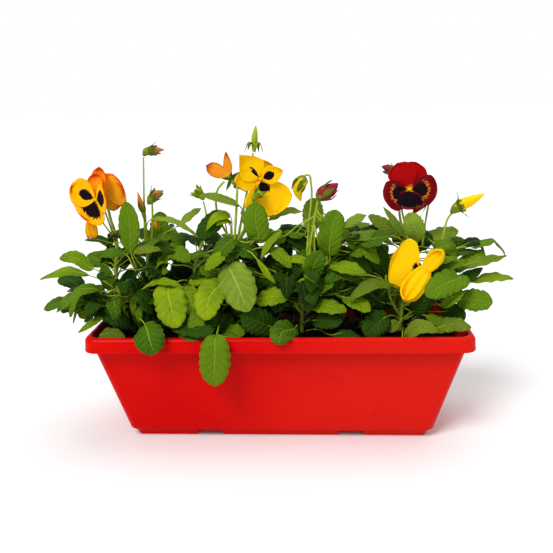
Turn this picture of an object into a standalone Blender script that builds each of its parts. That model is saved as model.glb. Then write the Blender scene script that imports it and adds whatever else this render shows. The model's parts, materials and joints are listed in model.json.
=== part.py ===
"""A red window-box planter holding four pansy plants, as closed solids in metres.

+Z is up, X runs along the trough and -Y is its front. The origin is the centre of
the flat underside of the trough's middle foot. Every leaf, stalk and flower is
placed by hand in the tables below, in millimetres.
"""

from dataclasses import dataclass
from math import cos, pi, radians, sin

import bmesh
import bpy
from mathutils import Vector

MM = 0.001
GAP = 0.4

# Trough: the rim's outer size, the body that hangs from it and the stepped foot.
RIM_LENGTH = 450.0
RIM_DEPTH = 170.0
HEIGHT = 135.0
RIM_CORNER = 16.0
SKIRT_Z = 117.5
SKIRT_WALL = 2.4
OVERHANG = 12.4
END_OVERHANG = 8.4
WALL = 2.4
END_SLOPE = 0.305
SIDE_SLOPE = 0.137
FOOT_Z = 10.2
FOOT_STEP = 4.0
FOOT_TAPER = 2.4
FOOT_EASE = 1.5
FOOT_CORNER = 4.0
FLOOR = 2.5
CHANNEL_TOP = 6.5
CHANNEL_X = 86.0
CHANNEL_WIDTH = 33.0
CHANNEL_SLANT = 2.0
CAVITY_FLOOR = CHANNEL_TOP + FLOOR
CORNER_STEPS = 4
DRAIN_RADIUS = 3.5
DRAIN_PLACES = [(x, y) for x in (-132.0, -32.0, 32.0, 132.0) for y in (-24.0, 24.0)]

# Potting soil.
SOIL_Z = 118.0
SOIL_EDGE_DROP = 3.0
LUMP = 1.3

# Leaves, petals, stems and buds.
RING_SIDES = 8
STEM_SIDES = 6
PETIOLE_RADIUS = 1.0
LEAF_HALF_THICKNESS = 0.6
BLADE_THINS_BY = 0.22
PETAL_HALF_THICKNESS = 0.4
PETAL_ROOT = 3.0

RED = (0.68, 0.006, 0.003)
SOIL_BROWN = (0.03, 0.017, 0.01)
STEM_GREEN = (0.32, 0.46, 0.04)
LEAF_GREEN = (0.16, 0.33, 0.02)
BUD_GREEN = (0.2, 0.36, 0.03)
ORANGE = (0.9, 0.32, 0.01)
YELLOW = (0.95, 0.55, 0.0)
DARK_RED = (0.25, 0.0, 0.008)


@dataclass(frozen=True)
class Stem:
    """One shoot or flower stalk: its points and its radius at each end."""

    name: str
    points: tuple
    base_radius: float
    tip_radius: float


@dataclass(frozen=True)
class Leaf:
    """One leaf: its midrib's points, the blade's width and where its face looks.

    The points are the petiole's root and bend, then the blade's base, middle and tip.
    """

    name: str
    points: tuple
    width: float
    face: tuple
    kind: str = "oval"


@dataclass(frozen=True)
class Petal:
    """One petal, by its direction round the flower and its forward lift, in degrees."""

    name: str
    angle: float
    length: float
    width: float
    lift: float
    layer: float


@dataclass(frozen=True)
class Flower:
    """One open flower: where its eye is, where it looks and how far it is rolled."""

    name: str
    centre: tuple
    facing: tuple
    roll: float
    colour: tuple
    petals: tuple


@dataclass(frozen=True)
class Corolla:
    """A smaller flower kept as one lobed cup."""

    name: str
    centre: tuple
    facing: tuple
    radius: float
    depth: float
    colour: tuple


@dataclass(frozen=True)
class Bud:
    """A bud, pod or spent flower: a spindle from its stalk to its tip."""

    name: str
    points: tuple
    radius: float
    colour: tuple


STEMS = {
    "plant_left_stems": (
        Stem(
            "main",
            ((-183, -13, 119.5), (-185, -14, 140), (-195, -18, 172), (-199, -13, 198), (-196, -8, 222)),
            2.6, 1.8,
        ),
        Stem("left", ((-183, -13, 123), (-192, -18, 138), (-205, -25, 156), (-214, -30, 176)), 2.0, 1.3),
        Stem(
            "right",
            ((-183, -13, 123), (-174, -17, 150), (-161, -18, 182), (-160, -8, 212), (-163, 0, 238)),
            2.2, 1.5,
        ),
        Stem(
            "orange_stalk",
            ((-196, -9, 219), (-202, 0, 245), (-207, 6, 268), (-206, 4, 280), (-202, -4, 284)),
            1.3, 1.2,
        ),
        Stem("round_stalk", ((-196, -8, 216), (-194, 0, 250), (-196, -1, 276), (-199, 2, 286)), 1.5, 1.2),
        Stem(
            "tall_bud_stalk",
            ((-163, 0, 234), (-164, 8, 262), (-163, 12, 300), (-161, 12, 333)),
            1.2, 0.9,
        ),
        Stem(
            "low_bud_stalk",
            ((-160, -8, 210), (-154, -1, 240), (-152, 0, 262), (-151, -1, 278)),
            1.2, 1.0,
        ),
    ),
    "plant_centre_left_stems": (
        Stem(
            "main",
            ((-80, -10, 119.5), (-77, -10, 135), (-62, -13, 161), (-57, -8, 197), (-50, -2, 232)),
            2.6, 1.8,
        ),
        Stem("right", ((-80, -10, 125), (-64, -16, 138), (-50, -26, 152), (-47, -30, 168)), 1.8, 1.2),
        Stem("left", ((-80, -10, 124), (-94, -13, 150), (-102, -14, 190), (-92, -5, 232)), 2.0, 1.4),
        Stem("pod_stalk", ((-50, -2, 229), (-43, 4, 262), (-35, 12, 300), (-29, 18, 335)), 1.5, 1.0),
        Stem(
            "side_stalk",
            ((-57, -8, 195), (-60, 8, 230), (-74, 10, 262), (-70, 4, 296), (-63, 2, 303)),
            1.3, 1.2,
        ),
        Stem("small_bud_stalk", ((-92, -5, 229), (-86, 0, 259), (-89, 0, 280)), 1.1, 0.9),
        Stem(
            "yellow_stalk",
            ((-50, -2, 226), (-34, 14, 256), (-20, 22, 286), (-17, 16, 302), (-16, 8, 303)),
            1.6, 1.3,
        ),
    ),
    "plant_centre_right_stems": (
        Stem("main", ((27, -17, 119.5), (28, -17, 151), (31, -15, 180), (36, -6, 216)), 2.5, 1.8),
        Stem("left", ((28, -17, 143), (18, -22, 160), (10, -25, 178), (6, -24, 196)), 1.8, 1.2),
        Stem("right", ((28, -17, 149), (43, -21, 174), (57, -17, 200), (58, -6, 225)), 2.0, 1.4),
        Stem(
            "yellow_bud_stalk",
            ((33, -12, 196), (37, 0, 250), (40, 2, 300), (38, 1, 309), (33, 0, 309)),
            1.3, 1.0,
        ),
        Stem("red_bud_stalk", ((36, -6, 213), (43, -2, 250), (48, 0, 280)), 1.8, 1.4),
    ),
    "plant_right_stems": (
        Stem("main", ((146, -11, 119.5), (148, -14, 152), (152, -10, 190), (155, 0, 235)), 2.6, 1.7),
        Stem("right", ((147, -12, 132), (174, -13, 162), (189, -5, 192), (194, 4, 220)), 2.0, 1.4),
        Stem("left", ((147, -12, 138), (134, -20, 162), (127, -15, 195)), 1.7, 1.2),
        Stem("red_stalk", ((155, 0, 232), (157, 10, 262), (157, 13, 282), (156, 8, 289)), 1.6, 1.3),
        Stem("golden_stalk", ((189, -5, 191), (186, -8, 208), (178, -14, 212), (172, -19, 209)), 1.4, 1.2),
        Stem("side_bud_stalk", ((194, 4, 217), (198, 5, 238), (203, 5, 256), (209, 4, 264)), 1.3, 1.1),
    ),
}

LEAVES = (
    Leaf(
        "leaf_a1_far_left",
        ((-201, -18, 178), (-213, -20, 188), (-230, -20, 195), (-258, -22, 201), (-289, -25, 191)),
        20, (0.1, -0.35, 1), "lance",
    ),
    Leaf(
        "leaf_a2_drooping",
        ((-209, -32, 164), (-210, -38, 174), (-213, -42, 182), (-232, -52, 185), (-243, -62, 155)),
        23, (-0.5, -0.5, 0.8),
    ),
    Leaf(
        "leaf_a3_outside",
        ((-188, -20, 132), (-197, -40, 146), (-205, -51, 152), (-217, -60, 148), (-233, -68, 138)),
        13, (-0.3, -0.5, 0.8), "lance",
    ),
    Leaf(
        "leaf_a4_upright",
        ((-164, -20, 190), (-170, -25, 206), (-175, -25, 226), (-174, -26, 255), (-178, -19, 284)),
        26, (0, -1, 0.2),
    ),
    Leaf(
        "leaf_a5_side",
        ((-166, -26, 192), (-172, -33, 210), (-177, -34, 222), (-194, -36, 226), (-214, -34, 222)),
        14, (-0.1, -0.7, 0.7), "lance",
    ),
    Leaf(
        "leaf_a6_long_pale",
        ((-159, -4, 240), (-158, -8, 252), (-154, -12, 259), (-128, -18, 262), (-92, -24, 240)),
        13, (0, -0.3, 1), "lance",
    ),
    Leaf(
        "leaf_a7_over_rim",
        ((-178, -22, 136), (-163, -52, 150), (-149, -78, 148), (-142, -93, 138), (-137, -97, 122)),
        36, (0, -0.9, 0.5), "round",
    ),
    Leaf(
        "leaf_b1_scalloped",
        ((-106, -19, 186), (-114, -34, 191), (-126, -48, 187), (-121, -70, 173), (-113, -80, 147)),
        30, (0, -0.9, 0.45), "round",
    ),
    Leaf(
        "leaf_b2_bright",
        ((-60, -20, 172), (-60, -34, 186), (-67, -46, 188), (-77, -64, 178), (-80, -77, 155)),
        27, (0, -0.85, 0.5), "round",
    ),
    Leaf(
        "leaf_b3_rim",
        ((-86, -16, 128), (-104, -44, 143), (-114, -66, 146), (-94, -77, 146), (-71, -84, 143)),
        26, (0, -0.5, 0.85), "round",
    ),
    Leaf(
        "leaf_b4_upright",
        ((-46, -6, 232), (-34, -14, 232), (-23, -20, 239), (-25, -25, 260), (-24, -21, 281)),
        31, (0, -1, 0.15), "round",
    ),
    Leaf(
        "leaf_b5_level",
        ((-44, -1, 265), (-42, -6, 271), (-46, -10, 277), (-64, -16, 285), (-85, -21, 291)),
        18, (0, -0.5, 0.9),
    ),
    Leaf(
        "leaf_b6_hanging",
        ((-57, -13, 199), (-58, -22, 208), (-57, -32, 208), (-45, -56, 191), (-32, -71, 163)),
        38, (-0.1, -0.8, 0.6),
    ),
    Leaf(
        "leaf_b7_side",
        ((-45, -33, 166), (-37, -37, 170), (-25, -42, 170), (-6, -52, 176), (14, -60, 177)),
        25, (0, -0.7, 0.7),
    ),
    Leaf(
        "leaf_b8_front",
        ((-77, -16, 129), (-67, -74, 143), (-68, -93, 136), (-69, -98, 112), (-72, -97, 84)),
        36, (0, -1, 0.2), "round",
    ),
    Leaf(
        "leaf_b9_cup",
        ((-56, -13, 212), (-53, -16, 226), (-52, -18, 237), (-62, -28, 230), (-74, -34, 216)),
        27, (-0.3, -0.6, 0.75),
    ),
    Leaf(
        "leaf_c1_upright",
        ((60, -20, 207), (62, -22, 214), (61, -24, 224), (64, -28, 248), (70, -22, 271)),
        31, (0, -1, 0.15), "round",
    ),
    Leaf(
        "leaf_c2_oval",
        ((33, -21, 180), (33, -28, 185), (36, -33, 192), (43, -40, 210), (52, -38, 226)),
        25, (0, -0.9, 0.4),
    ),
    Leaf(
        "leaf_c3_lance",
        ((51, -24, 188), (54, -30, 198), (61, -35, 205), (81, -48, 209), (102, -56, 203)),
        20, (0, -0.6, 0.8), "lance",
    ),
    Leaf(
        "leaf_c4_level",
        ((28, -21, 150), (31, -31, 157), (39, -38, 160), (57, -54, 165), (80, -62, 161)),
        22, (0, -0.6, 0.8),
    ),
    Leaf(
        "leaf_c5_outer",
        ((47, -24, 174), (62, -34, 175), (78, -44, 172), (92, -56, 170), (107, -64, 161)),
        22, (0.1, -0.6, 0.8),
    ),
    Leaf(
        "leaf_d1_arched",
        ((149, -18, 158), (147, -24, 168), (138, -31, 179), (112, -50, 190), (81, -64, 174)),
        20, (-0.2, -0.6, 0.8), "lance",
    ),
    Leaf(
        "leaf_d2_long",
        ((191, -8, 190), (197, -12, 192), (207, -15, 197), (236, -20, 208), (266, -22, 214)),
        19, (0, -0.4, 0.9), "lance",
    ),
    Leaf(
        "leaf_d3_far_right",
        ((178, -16, 162), (206, -18, 170), (228, -19, 182), (252, -20, 189), (277, -18, 186)),
        18, (0.1, -0.4, 0.9), "lance",
    ),
    Leaf(
        "leaf_d4_round",
        ((168, -18, 154), (192, -26, 158), (214, -32, 165), (230, -38, 166), (248, -42, 165)),
        29, (0.1, -0.8, 0.6), "round",
    ),
    Leaf(
        "leaf_d5_front",
        ((188, -10, 186), (204, -24, 193), (211, -38, 193), (191, -52, 190), (169, -60, 177)),
        31, (-0.1, -0.8, 0.6), "round",
    ),
    Leaf(
        "leaf_d6_round_top",
        ((158, -7, 214), (164, -12, 227), (164, -18, 238), (159, -23, 251), (152, -21, 266)),
        25, (0, -1, 0.15), "round",
    ),
    Leaf(
        "leaf_d7_back",
        ((186, 1, 200), (179, 10, 212), (177, 18, 222), (197, 22, 231), (218, 20, 237)),
        24, (0, -0.7, 0.7),
    ),
)

FLOWERS = (
    Flower("orange_flower", (-213, -14, 285), (-0.45, -0.88, 0.12), -6, ORANGE, (
        Petal("upper_left", 112, 31, 26, -10, -3.0),
        Petal("upper_right", 90, 36, 23, -12, -4.6),
        Petal("side_left", 160, 33, 34, 16, 0.6),
        Petal("side_right", 8, 25, 28, 18, 0.6),
        Petal("lower", 254, 31, 42, 12, -1.2),
    )),
    Flower("yellow_flower", (-19, -4, 305), (0.3, -0.94, 0.0), 6, YELLOW, (
        Petal("upper_left", 120, 36, 32, -8, -3.0),
        Petal("upper_right", 66, 30, 28, -10, -4.6),
        Petal("side_left", 178, 28, 28, 18, 0.6),
        Petal("side_right", 4, 27, 28, 18, 0.6),
        Petal("lower", 272, 42, 46, 4, -1.2),
    )),
    Flower("red_flower", (155, -3, 291), (0.0, -0.99, 0.12), 9, DARK_RED, (
        Petal("upper_left", 112, 31, 32, -6, -3.0),
        Petal("upper_right", 72, 30, 32, -6, -4.4),
        Petal("side_left", 192, 30, 30, 8, 0.6),
        Petal("side_right", 350, 31, 30, 8, 0.6),
        Petal("lower", 270, 24, 38, 6, -1.2),
    )),
)

COROLLAS = (
    Corolla("round_orange_flower", (-196, 8, 292), (0.35, 0.93, 0.1), 22, 5, ORANGE),
    Corolla("side_orange_flower", (-62, -1, 317), (-0.3, 0.2, 0.93), 15, 12, ORANGE),
    Corolla("golden_flower", (164, -26, 204), (-0.75, -0.65, 0.1), 30, 12, YELLOW),
)

BUDS = (
    Bud("tall_bud", ((-161, 12, 334.5), (-157, 12, 339), (-148, 12, 341), (-138, 12, 340)), 4.5, BUD_GREEN),
    Bud("low_bud", ((-151, -1, 279.5), (-150, -1.5, 284), (-145, -2, 289), (-137, -2, 293)), 5.5, BUD_GREEN),
    Bud("seed_pod", ((-28.5, 18.5, 336.5), (-27, 20, 345), (-26, 20, 354), (-25, 20, 365)), 4.0, BUD_GREEN),
    Bud("small_bud", ((-89, 0, 281.5), (-91, 0, 287), (-95, -1, 293), (-99, -2, 296)), 6.0, BUD_GREEN),
    Bud("yellow_bud", ((31, 0, 309), (26, -1, 305), (22, -2, 294), (25, -3, 279)), 8.0, YELLOW),
    Bud("red_bud", ((48.5, 0, 281.5), (51, 0, 288), (59, 0, 294), (71, 0, 301)), 9.0, DARK_RED),
    Bud("side_bud", ((210, 4, 265.5), (215, 3, 269), (226, 1, 274), (240, -1, 281)), 6.5, YELLOW),
    Bud("spent_flower", ((-209, 12, 262), (-218, 10, 266), (-231, 7, 258), (-237, 5, 237)), 7.5, ORANGE),
)

CROWNS = ((-183.0, -13.0), (-80.0, -10.0), (27.0, -17.0), (146.0, -11.0))


def vector(values):
    """A point given in millimetres, in metres."""
    return Vector(values) * MM


def clear_scene():
    for obj in list(bpy.data.objects):
        bpy.data.objects.remove(obj, do_unlink=True)


def material(name, colour, roughness, coat=0.0):
    made = bpy.data.materials.new(name)
    made.use_nodes = True
    shader = made.node_tree.nodes["Principled BSDF"]
    shader.inputs["Base Color"].default_value = (*colour, 1.0)
    shader.inputs["Roughness"].default_value = roughness
    shader.inputs["Coat Weight"].default_value = coat
    made.diffuse_color = (*colour, 1.0)
    return made


def add_object(name, bm, origin, surface, parent=None):
    """Makes one object from a bmesh built in world metres, with its own origin."""
    bmesh.ops.translate(bm, verts=bm.verts, vec=-origin)
    bmesh.ops.recalc_face_normals(bm, faces=bm.faces)
    mesh = bpy.data.meshes.new(name)
    bm.to_mesh(mesh)
    bm.free()
    mesh.materials.append(surface)
    mesh.shade_smooth()
    mesh.set_sharp_from_angle(angle=radians(40))
    obj = bpy.data.objects.new(name, mesh)
    obj.location = origin
    bpy.context.collection.objects.link(obj)
    if parent:
        obj.parent = parent
    return obj


def add_empty(name):
    """An empty at the world's origin, which keeps one plant's pieces together."""
    empty = bpy.data.objects.new(name, None)
    bpy.context.collection.objects.link(empty)
    return empty


def loft(bm, rings):
    """Skins the rings, which have the same number of points, and caps both ends."""
    loops = [[bm.verts.new(point) for point in ring] for ring in rings]
    count = len(loops[0])
    for low, high in zip(loops, loops[1:]):
        for i in range(count):
            j = (i + 1) % count
            bm.faces.new((low[i], low[j], high[j], high[i]))
    bm.faces.new(reversed(loops[0]))
    bm.faces.new(loops[-1])


def oval_ring(centre, along, face, half_width, half_thickness, sides=RING_SIDES):
    """Points round an ellipse across a direction, its flat side turned towards face.

    The half width and half thickness are in millimetres.
    """
    up = (face - along * face.dot(along)).normalized()
    side = along.cross(up)
    ring = []
    for i in range(sides):
        angle = 2 * pi * i / sides
        offset = side * (half_width * cos(angle)) + up * (half_thickness * sin(angle))
        ring.append(centre + offset * MM)
    return ring


class Path:
    """A smooth curve through a list of points, read at 0 for the first, 1 for the next."""

    def __init__(self, points):
        self.points = [vector(p) for p in points]
        self.slopes = self._slopes()

    def _slopes(self):
        points = self.points
        spans = [(b - a).length for a, b in zip(points, points[1:])]
        runs = [(b - a) / span for a, b, span in zip(points, points[1:], spans)]
        inner = []
        for i in range(1, len(runs)):
            share = spans[i - 1] + spans[i]
            inner.append((runs[i - 1] * spans[i] + runs[i] * spans[i - 1]) / share)
        if not inner:
            return [runs[0], runs[0]]
        first = runs[0] * 1.5 - inner[0] * 0.5
        last = runs[-1] * 1.5 - inner[-1] * 0.5
        return [first, *inner, last]

    def at(self, place):
        i = min(int(place), len(self.points) - 2)
        t = place - i
        a, b = self.points[i], self.points[i + 1]
        span = (b - a).length
        near, far = self.slopes[i] * span, self.slopes[i + 1] * span
        return (
            a * (2 * t**3 - 3 * t**2 + 1)
            + near * (t**3 - 2 * t**2 + t)
            + b * (3 * t**2 - 2 * t**3)
            + far * (t**3 - t**2)
        )

    def direction(self, place):
        step = 0.02
        top = len(self.points) - 1
        ahead = self.at(min(place + step, top))
        return (ahead - self.at(max(place - step, 0.0))).normalized()

    def ring(self, place, face, half_width, half_thickness, sides=RING_SIDES):
        """An oval ring across the path at a place on it."""
        return oval_ring(self.at(place), self.direction(place), face, half_width, half_thickness, sides)


def blade_share(kind, t):
    """How much of the blade's full width is reached at t, from 0 at its base to 1."""
    if kind == "round":
        return max(sin(pi * t**0.8), 0.0) ** 0.6
    if kind == "lance":
        return max(sin(pi * t**0.85), 0.0) ** 0.95
    return max(sin(pi * t**0.8), 0.0) ** 0.75


def leaf_rings(leaf):
    """The leaf's rings, from its round petiole into its thin blade."""
    path = Path(leaf.points)
    face = Vector(leaf.face)
    rings = []
    for place in (0.0, 0.7, 1.4):
        rings.append(path.ring(place, face, PETIOLE_RADIUS, PETIOLE_RADIUS))
    for t in (0.0, 0.08, 0.22, 0.42, 0.62, 0.8, 0.92, 1.0):
        half_width = max(leaf.width / 2 * blade_share(leaf.kind, t), PETIOLE_RADIUS)
        thinning = min(t / BLADE_THINS_BY, 1.0)
        thickness = PETIOLE_RADIUS + (LEAF_HALF_THICKNESS - PETIOLE_RADIUS) * thinning
        rings.append(path.ring(2 + 2 * t, face, half_width, thickness))
    return rings


def build_leaf(leaf, surface, parent):
    bm = bmesh.new()
    loft(bm, leaf_rings(leaf))
    return add_object(leaf.name, bm, vector(leaf.points[0]), surface, parent)


def petal_share(t):
    """A petal's width along it: a narrow claw that opens into a round fan."""
    return 0.16 + 0.84 * max(sin(pi * min(t**1.15 * 0.93, 1.0)), 0.0) ** 0.7


def facing_axes(facing, roll=0.0):
    """A flower's rightward, upward and forward directions, after its roll in degrees."""
    forward = Vector(facing).normalized()
    right = Vector((0, 0, 1)).cross(forward).normalized()
    up = forward.cross(right)
    turn = radians(roll)
    return right * cos(turn) + up * sin(turn), up * cos(turn) - right * sin(turn), forward


def build_petal(flower, petal, surface, parent):
    right, up, forward = facing_axes(flower.facing, flower.roll)
    angle = radians(petal.angle)
    lift = radians(petal.lift)
    outward = right * cos(angle) + up * sin(angle)
    along = outward * cos(lift) + forward * sin(lift)
    normal = forward * cos(lift) - outward * sin(lift)
    centre = vector(flower.centre) + forward * petal.layer * MM
    rings = []
    for t in (0.0, 0.16, 0.36, 0.58, 0.78, 0.92, 1.0):
        reach = PETAL_ROOT + (petal.length - PETAL_ROOT) * t
        half_width = petal.width / 2 * petal_share(t)
        place = centre + along * reach * MM
        rings.append(oval_ring(place, along, normal, half_width, PETAL_HALF_THICKNESS))
    bm = bmesh.new()
    loft(bm, rings)
    return add_object(f"{flower.name}_{petal.name}", bm, vector(flower.centre), surface, parent)


def build_corolla(corolla, surface, parent):
    """A lobed cup with an even wall: its inner and outer skins meet round the edge."""
    right, up, forward = facing_axes(corolla.facing)
    centre = vector(corolla.centre)
    sides, wall = 20, 0.8
    shares = (0.1, 0.45, 0.8)
    outside = [(share, wall) for share in shares]
    inside = [(share, 0.0) for share in reversed(shares)]
    rings = []
    for share, back in (*outside, (1.0, wall / 2), *inside):
        ring = []
        for i in range(sides):
            angle = 2 * pi * i / sides
            reach = corolla.radius * share * (1 + 0.08 * share * cos(5 * angle + pi / 2))
            rise = corolla.depth * share**2 - back
            offset = right * (reach * cos(angle)) + up * (reach * sin(angle)) + forward * rise
            ring.append(centre + offset * MM)
        rings.append(ring)
    bm = bmesh.new()
    loft(bm, rings)
    return add_object(corolla.name, bm, centre, surface, parent)


def build_bud(bud, surface, parent):
    path = Path(bud.points)
    face = Vector((0, -1, 0.1))
    rings = []
    last = len(bud.points) - 1
    for t in (0.0, 0.12, 0.32, 0.55, 0.78, 0.93, 1.0):
        place = last * t
        radius = 1.0 + (bud.radius - 1.0) * max(sin(pi * t), 0.0) ** 0.8
        rings.append(path.ring(place, face, radius, radius))
    bm = bmesh.new()
    loft(bm, rings)
    return add_object(bud.name, bm, vector(bud.points[0]), surface, parent)


def stem_mesh(bm, stem):
    path = Path(stem.points)
    last = len(stem.points) - 1
    steps = 2 * last
    face = Vector((0.3, -1, 0))
    rings = []
    for i in range(steps + 1):
        place = last * i / steps
        radius = stem.base_radius + (stem.tip_radius - stem.base_radius) * i / steps
        rings.append(path.ring(place, face, radius, radius, STEM_SIDES))
    loft(bm, rings)


def build_stems(name, stems, surface, parent):
    """One plant's shoots and stalks, joined into a single body by Boolean unions."""
    trunk = None
    for stem in stems:
        bm = bmesh.new()
        stem_mesh(bm, stem)
        if trunk is None:
            trunk = add_object(name, bm, vector(stem.points[0]), surface, parent)
            continue
        branch = add_object(f"{name}_{stem.name}", bm, vector(stem.points[0]), surface, parent)
        add_boolean(trunk, branch, "UNION")
    return trunk


def add_boolean(target, tool, operation):
    tool.hide_render = True
    tool.display_type = "WIRE"
    boolean = target.modifiers.new(tool.name, "BOOLEAN")
    boolean.object = tool
    boolean.operation = operation
    boolean.solver = "EXACT"


def rounded_rectangle(half_x, half_y, corner, z, steps=CORNER_STEPS):
    """A level ring of points, anticlockwise from above, with arcs at its corners."""
    ring = []
    for quarter, (sx, sy) in enumerate(((1, 1), (-1, 1), (-1, -1), (1, -1))):
        for i in range(steps + 1):
            angle = pi / 2 * (quarter + i / steps)
            x = sx * (half_x - corner) + corner * cos(angle)
            y = sy * (half_y - corner) + corner * sin(angle)
            ring.append(vector((x, y, z)))
    return ring


def rim_ring(inset, z):
    """A ring of the rim, inset evenly from its outer edge."""
    corner = max(RIM_CORNER - inset * 0.5, 4.0)
    return rounded_rectangle(RIM_LENGTH / 2 - inset, RIM_DEPTH / 2 - inset, corner, z)


def body_ring(inset, z):
    """A ring of the tapering body, inset from its outer face at that height."""
    drop = SKIRT_Z - z
    half_x = RIM_LENGTH / 2 - END_OVERHANG - END_SLOPE * drop - inset
    half_y = RIM_DEPTH / 2 - OVERHANG - SIDE_SLOPE * drop - inset
    return rounded_rectangle(half_x, half_y, max(11.0 - inset, 5.0), z)


def trough_rings():
    """The trough's rings from its underside, over the rim and down to its inner floor."""
    lip_top, lip_round, bead = HEIGHT - 2.6, 6.0, 1.6
    rings = [
        body_ring(FOOT_STEP + FOOT_TAPER + 1.2, 0.0),
        body_ring(FOOT_STEP + FOOT_TAPER - 1.0, 1.6),
        body_ring(FOOT_STEP, FOOT_Z),
        body_ring(1.6, FOOT_Z + 0.2),
        body_ring(0.0, FOOT_Z + 2.0),
        body_ring(0.0, SKIRT_Z),
        body_ring(0.0, lip_top),
        rim_ring(SKIRT_WALL + 1.6, lip_top),
        rim_ring(SKIRT_WALL, lip_top - 2.0),
        rim_ring(SKIRT_WALL, SKIRT_Z + 0.8),
        rim_ring(bead, SKIRT_Z),
        rim_ring(0.5, SKIRT_Z + 0.5),
        rim_ring(0.0, SKIRT_Z + bead),
    ]
    for i in range(5):
        angle = pi / 2 * i / 4
        inset = lip_round * (1 - cos(angle))
        rings.append(rim_ring(inset, HEIGHT - lip_round + lip_round * sin(angle)))
    rings += [
        rim_ring(8.0, HEIGHT - 0.5),
        body_ring(WALL, HEIGHT - 2.0),
        body_ring(WALL, CAVITY_FLOOR),
    ]
    return rings


def channel_cutter(x, surface):
    """The slanted-sided groove that runs from front to back under the trough."""
    narrow, wide = CHANNEL_WIDTH / 2 - CHANNEL_SLANT, CHANNEL_WIDTH / 2 + CHANNEL_SLANT
    outline = ((-wide, -CHANNEL_TOP), (wide, -CHANNEL_TOP), (narrow, CHANNEL_TOP), (-narrow, CHANNEL_TOP))
    rings = []
    for y in (-RIM_DEPTH / 2, RIM_DEPTH / 2):
        rings.append([vector((x + px, y, pz)) for px, pz in outline])
    bm = bmesh.new()
    loft(bm, rings)
    return add_object(f"channel_cutter_{x:.0f}", bm, Vector(), surface)


def foot_spans():
    """The inside of each of the three feet, from its left end to its right end."""
    inner = CHANNEL_X - CHANNEL_WIDTH / 2 - CHANNEL_SLANT - WALL
    outer = CHANNEL_X + CHANNEL_WIDTH / 2 + CHANNEL_SLANT + WALL
    end = RIM_LENGTH / 2 - END_OVERHANG - END_SLOPE * SKIRT_Z - FOOT_STEP - FOOT_TAPER - WALL - FOOT_EASE
    return ((-end, -outer), (-inner, inner), (outer, end))


def foot_block(name, span, shrink, surface):
    """The space inside one foot, above its thin floor, made smaller all round by shrink."""
    half_x = (span[1] - span[0]) / 2 - shrink
    half_y = RIM_DEPTH / 2 - OVERHANG - SIDE_SLOPE * SKIRT_Z - FOOT_STEP - FOOT_TAPER - WALL
    centre = vector(((span[0] + span[1]) / 2, 0.0, 0.0))
    rings = []
    for z in (FLOOR + shrink, CAVITY_FLOOR + 2.0):
        ring = rounded_rectangle(half_x, half_y - FOOT_EASE - shrink, FOOT_CORNER, z, 2)
        rings.append([point + centre for point in ring])
    bm = bmesh.new()
    loft(bm, rings)
    return add_object(name, bm, Vector(), surface)


def drain_cutter(surface):
    bm = bmesh.new()
    radius = DRAIN_RADIUS * MM
    for x, y in DRAIN_PLACES:
        made = bmesh.ops.create_cone(
            bm, cap_ends=True, segments=12, radius1=radius, radius2=radius, depth=4 * FLOOR * MM
        )
        bmesh.ops.translate(bm, verts=made["verts"], vec=vector((x, y, 0.0)))
    return add_object("drain_cutter", bm, Vector(), surface)


def build_trough():
    surface = material("red_plastic", RED, 0.28, coat=0.3)
    bm = bmesh.new()
    loft(bm, trough_rings())
    trough = add_object("planter_trough", bm, Vector(), surface)
    for x in (-CHANNEL_X, CHANNEL_X):
        add_boolean(trough, channel_cutter(x, surface), "DIFFERENCE")
    for i, span in enumerate(foot_spans()):
        add_boolean(trough, foot_block(f"foot_cutter_{i}", span, 0.0, surface), "DIFFERENCE")
    add_boolean(trough, drain_cutter(surface), "DIFFERENCE")
    return trough


def lump_height(x, y):
    """How far the soil's surface rises or falls at a place, level round each crown."""
    near = min(((x - cx) ** 2 + (y - cy) ** 2) ** 0.5 for cx, cy in CROWNS)
    fade = min(max((near - 7.0) / 12.0, 0.0), 1.0)
    wave = sin(x * 0.21 + y * 0.13) * cos(y * 0.27 - x * 0.06) + 0.5 * sin(x * 0.47 - y * 0.4)
    return LUMP * fade * wave


def build_soil():
    surface = material("potting_soil", SOIL_BROWN, 0.95)
    edge_z = SOIL_Z - SOIL_EDGE_DROP
    rings = [body_ring(WALL + GAP, CAVITY_FLOOR + GAP), body_ring(WALL + GAP, edge_z)]
    shares = (0.97, 0.85, 0.66, 0.44, 0.2)
    outline = body_ring(WALL + GAP, edge_z)
    for share in shares:
        ring = []
        for point in outline:
            x, y = point.x / MM * share, point.y / MM * share
            height = SOIL_Z - SOIL_EDGE_DROP * max(share - 0.85, 0.0) * 4
            ring.append(vector((x, y, height + lump_height(x, y))))
        rings.append(ring)
    bm = bmesh.new()
    loft(bm, rings)
    soil = add_object("potting_soil", bm, Vector(), surface)
    for i, span in enumerate(foot_spans()):
        add_boolean(soil, foot_block(f"soil_in_foot_{i}", span, GAP, surface), "UNION")
    return soil


def build_plants():
    stem_surface = material("stem_green", STEM_GREEN, 0.5)
    leaf_surface = material("leaf_green", LEAF_GREEN, 0.5)
    plants = add_empty("plants")
    for name, stems in STEMS.items():
        build_stems(name, stems, stem_surface, plants)
    for leaf in LEAVES:
        build_leaf(leaf, leaf_surface, plants)
    for flower in FLOWERS:
        surface = material(f"{flower.name}_petals", flower.colour, 0.55)
        for petal in flower.petals:
            build_petal(flower, petal, surface, plants)
    for corolla in COROLLAS:
        build_corolla(corolla, material(f"{corolla.name}_petals", corolla.colour, 0.55), plants)
    for bud in BUDS:
        build_bud(bud, material(f"{bud.name}_skin", bud.colour, 0.5), plants)


def main():
    clear_scene()
    build_trough()
    build_soil()
    build_plants()


main()
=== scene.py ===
"""Dresses the potted pansy planter: a glossy red trough, damp soil and four plants in flower."""

import json
import logging
import math
import random
from collections.abc import Callable
from dataclasses import dataclass, field
from enum import Enum

import bmesh
import bpy
from mathutils import Matrix, Vector

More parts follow.
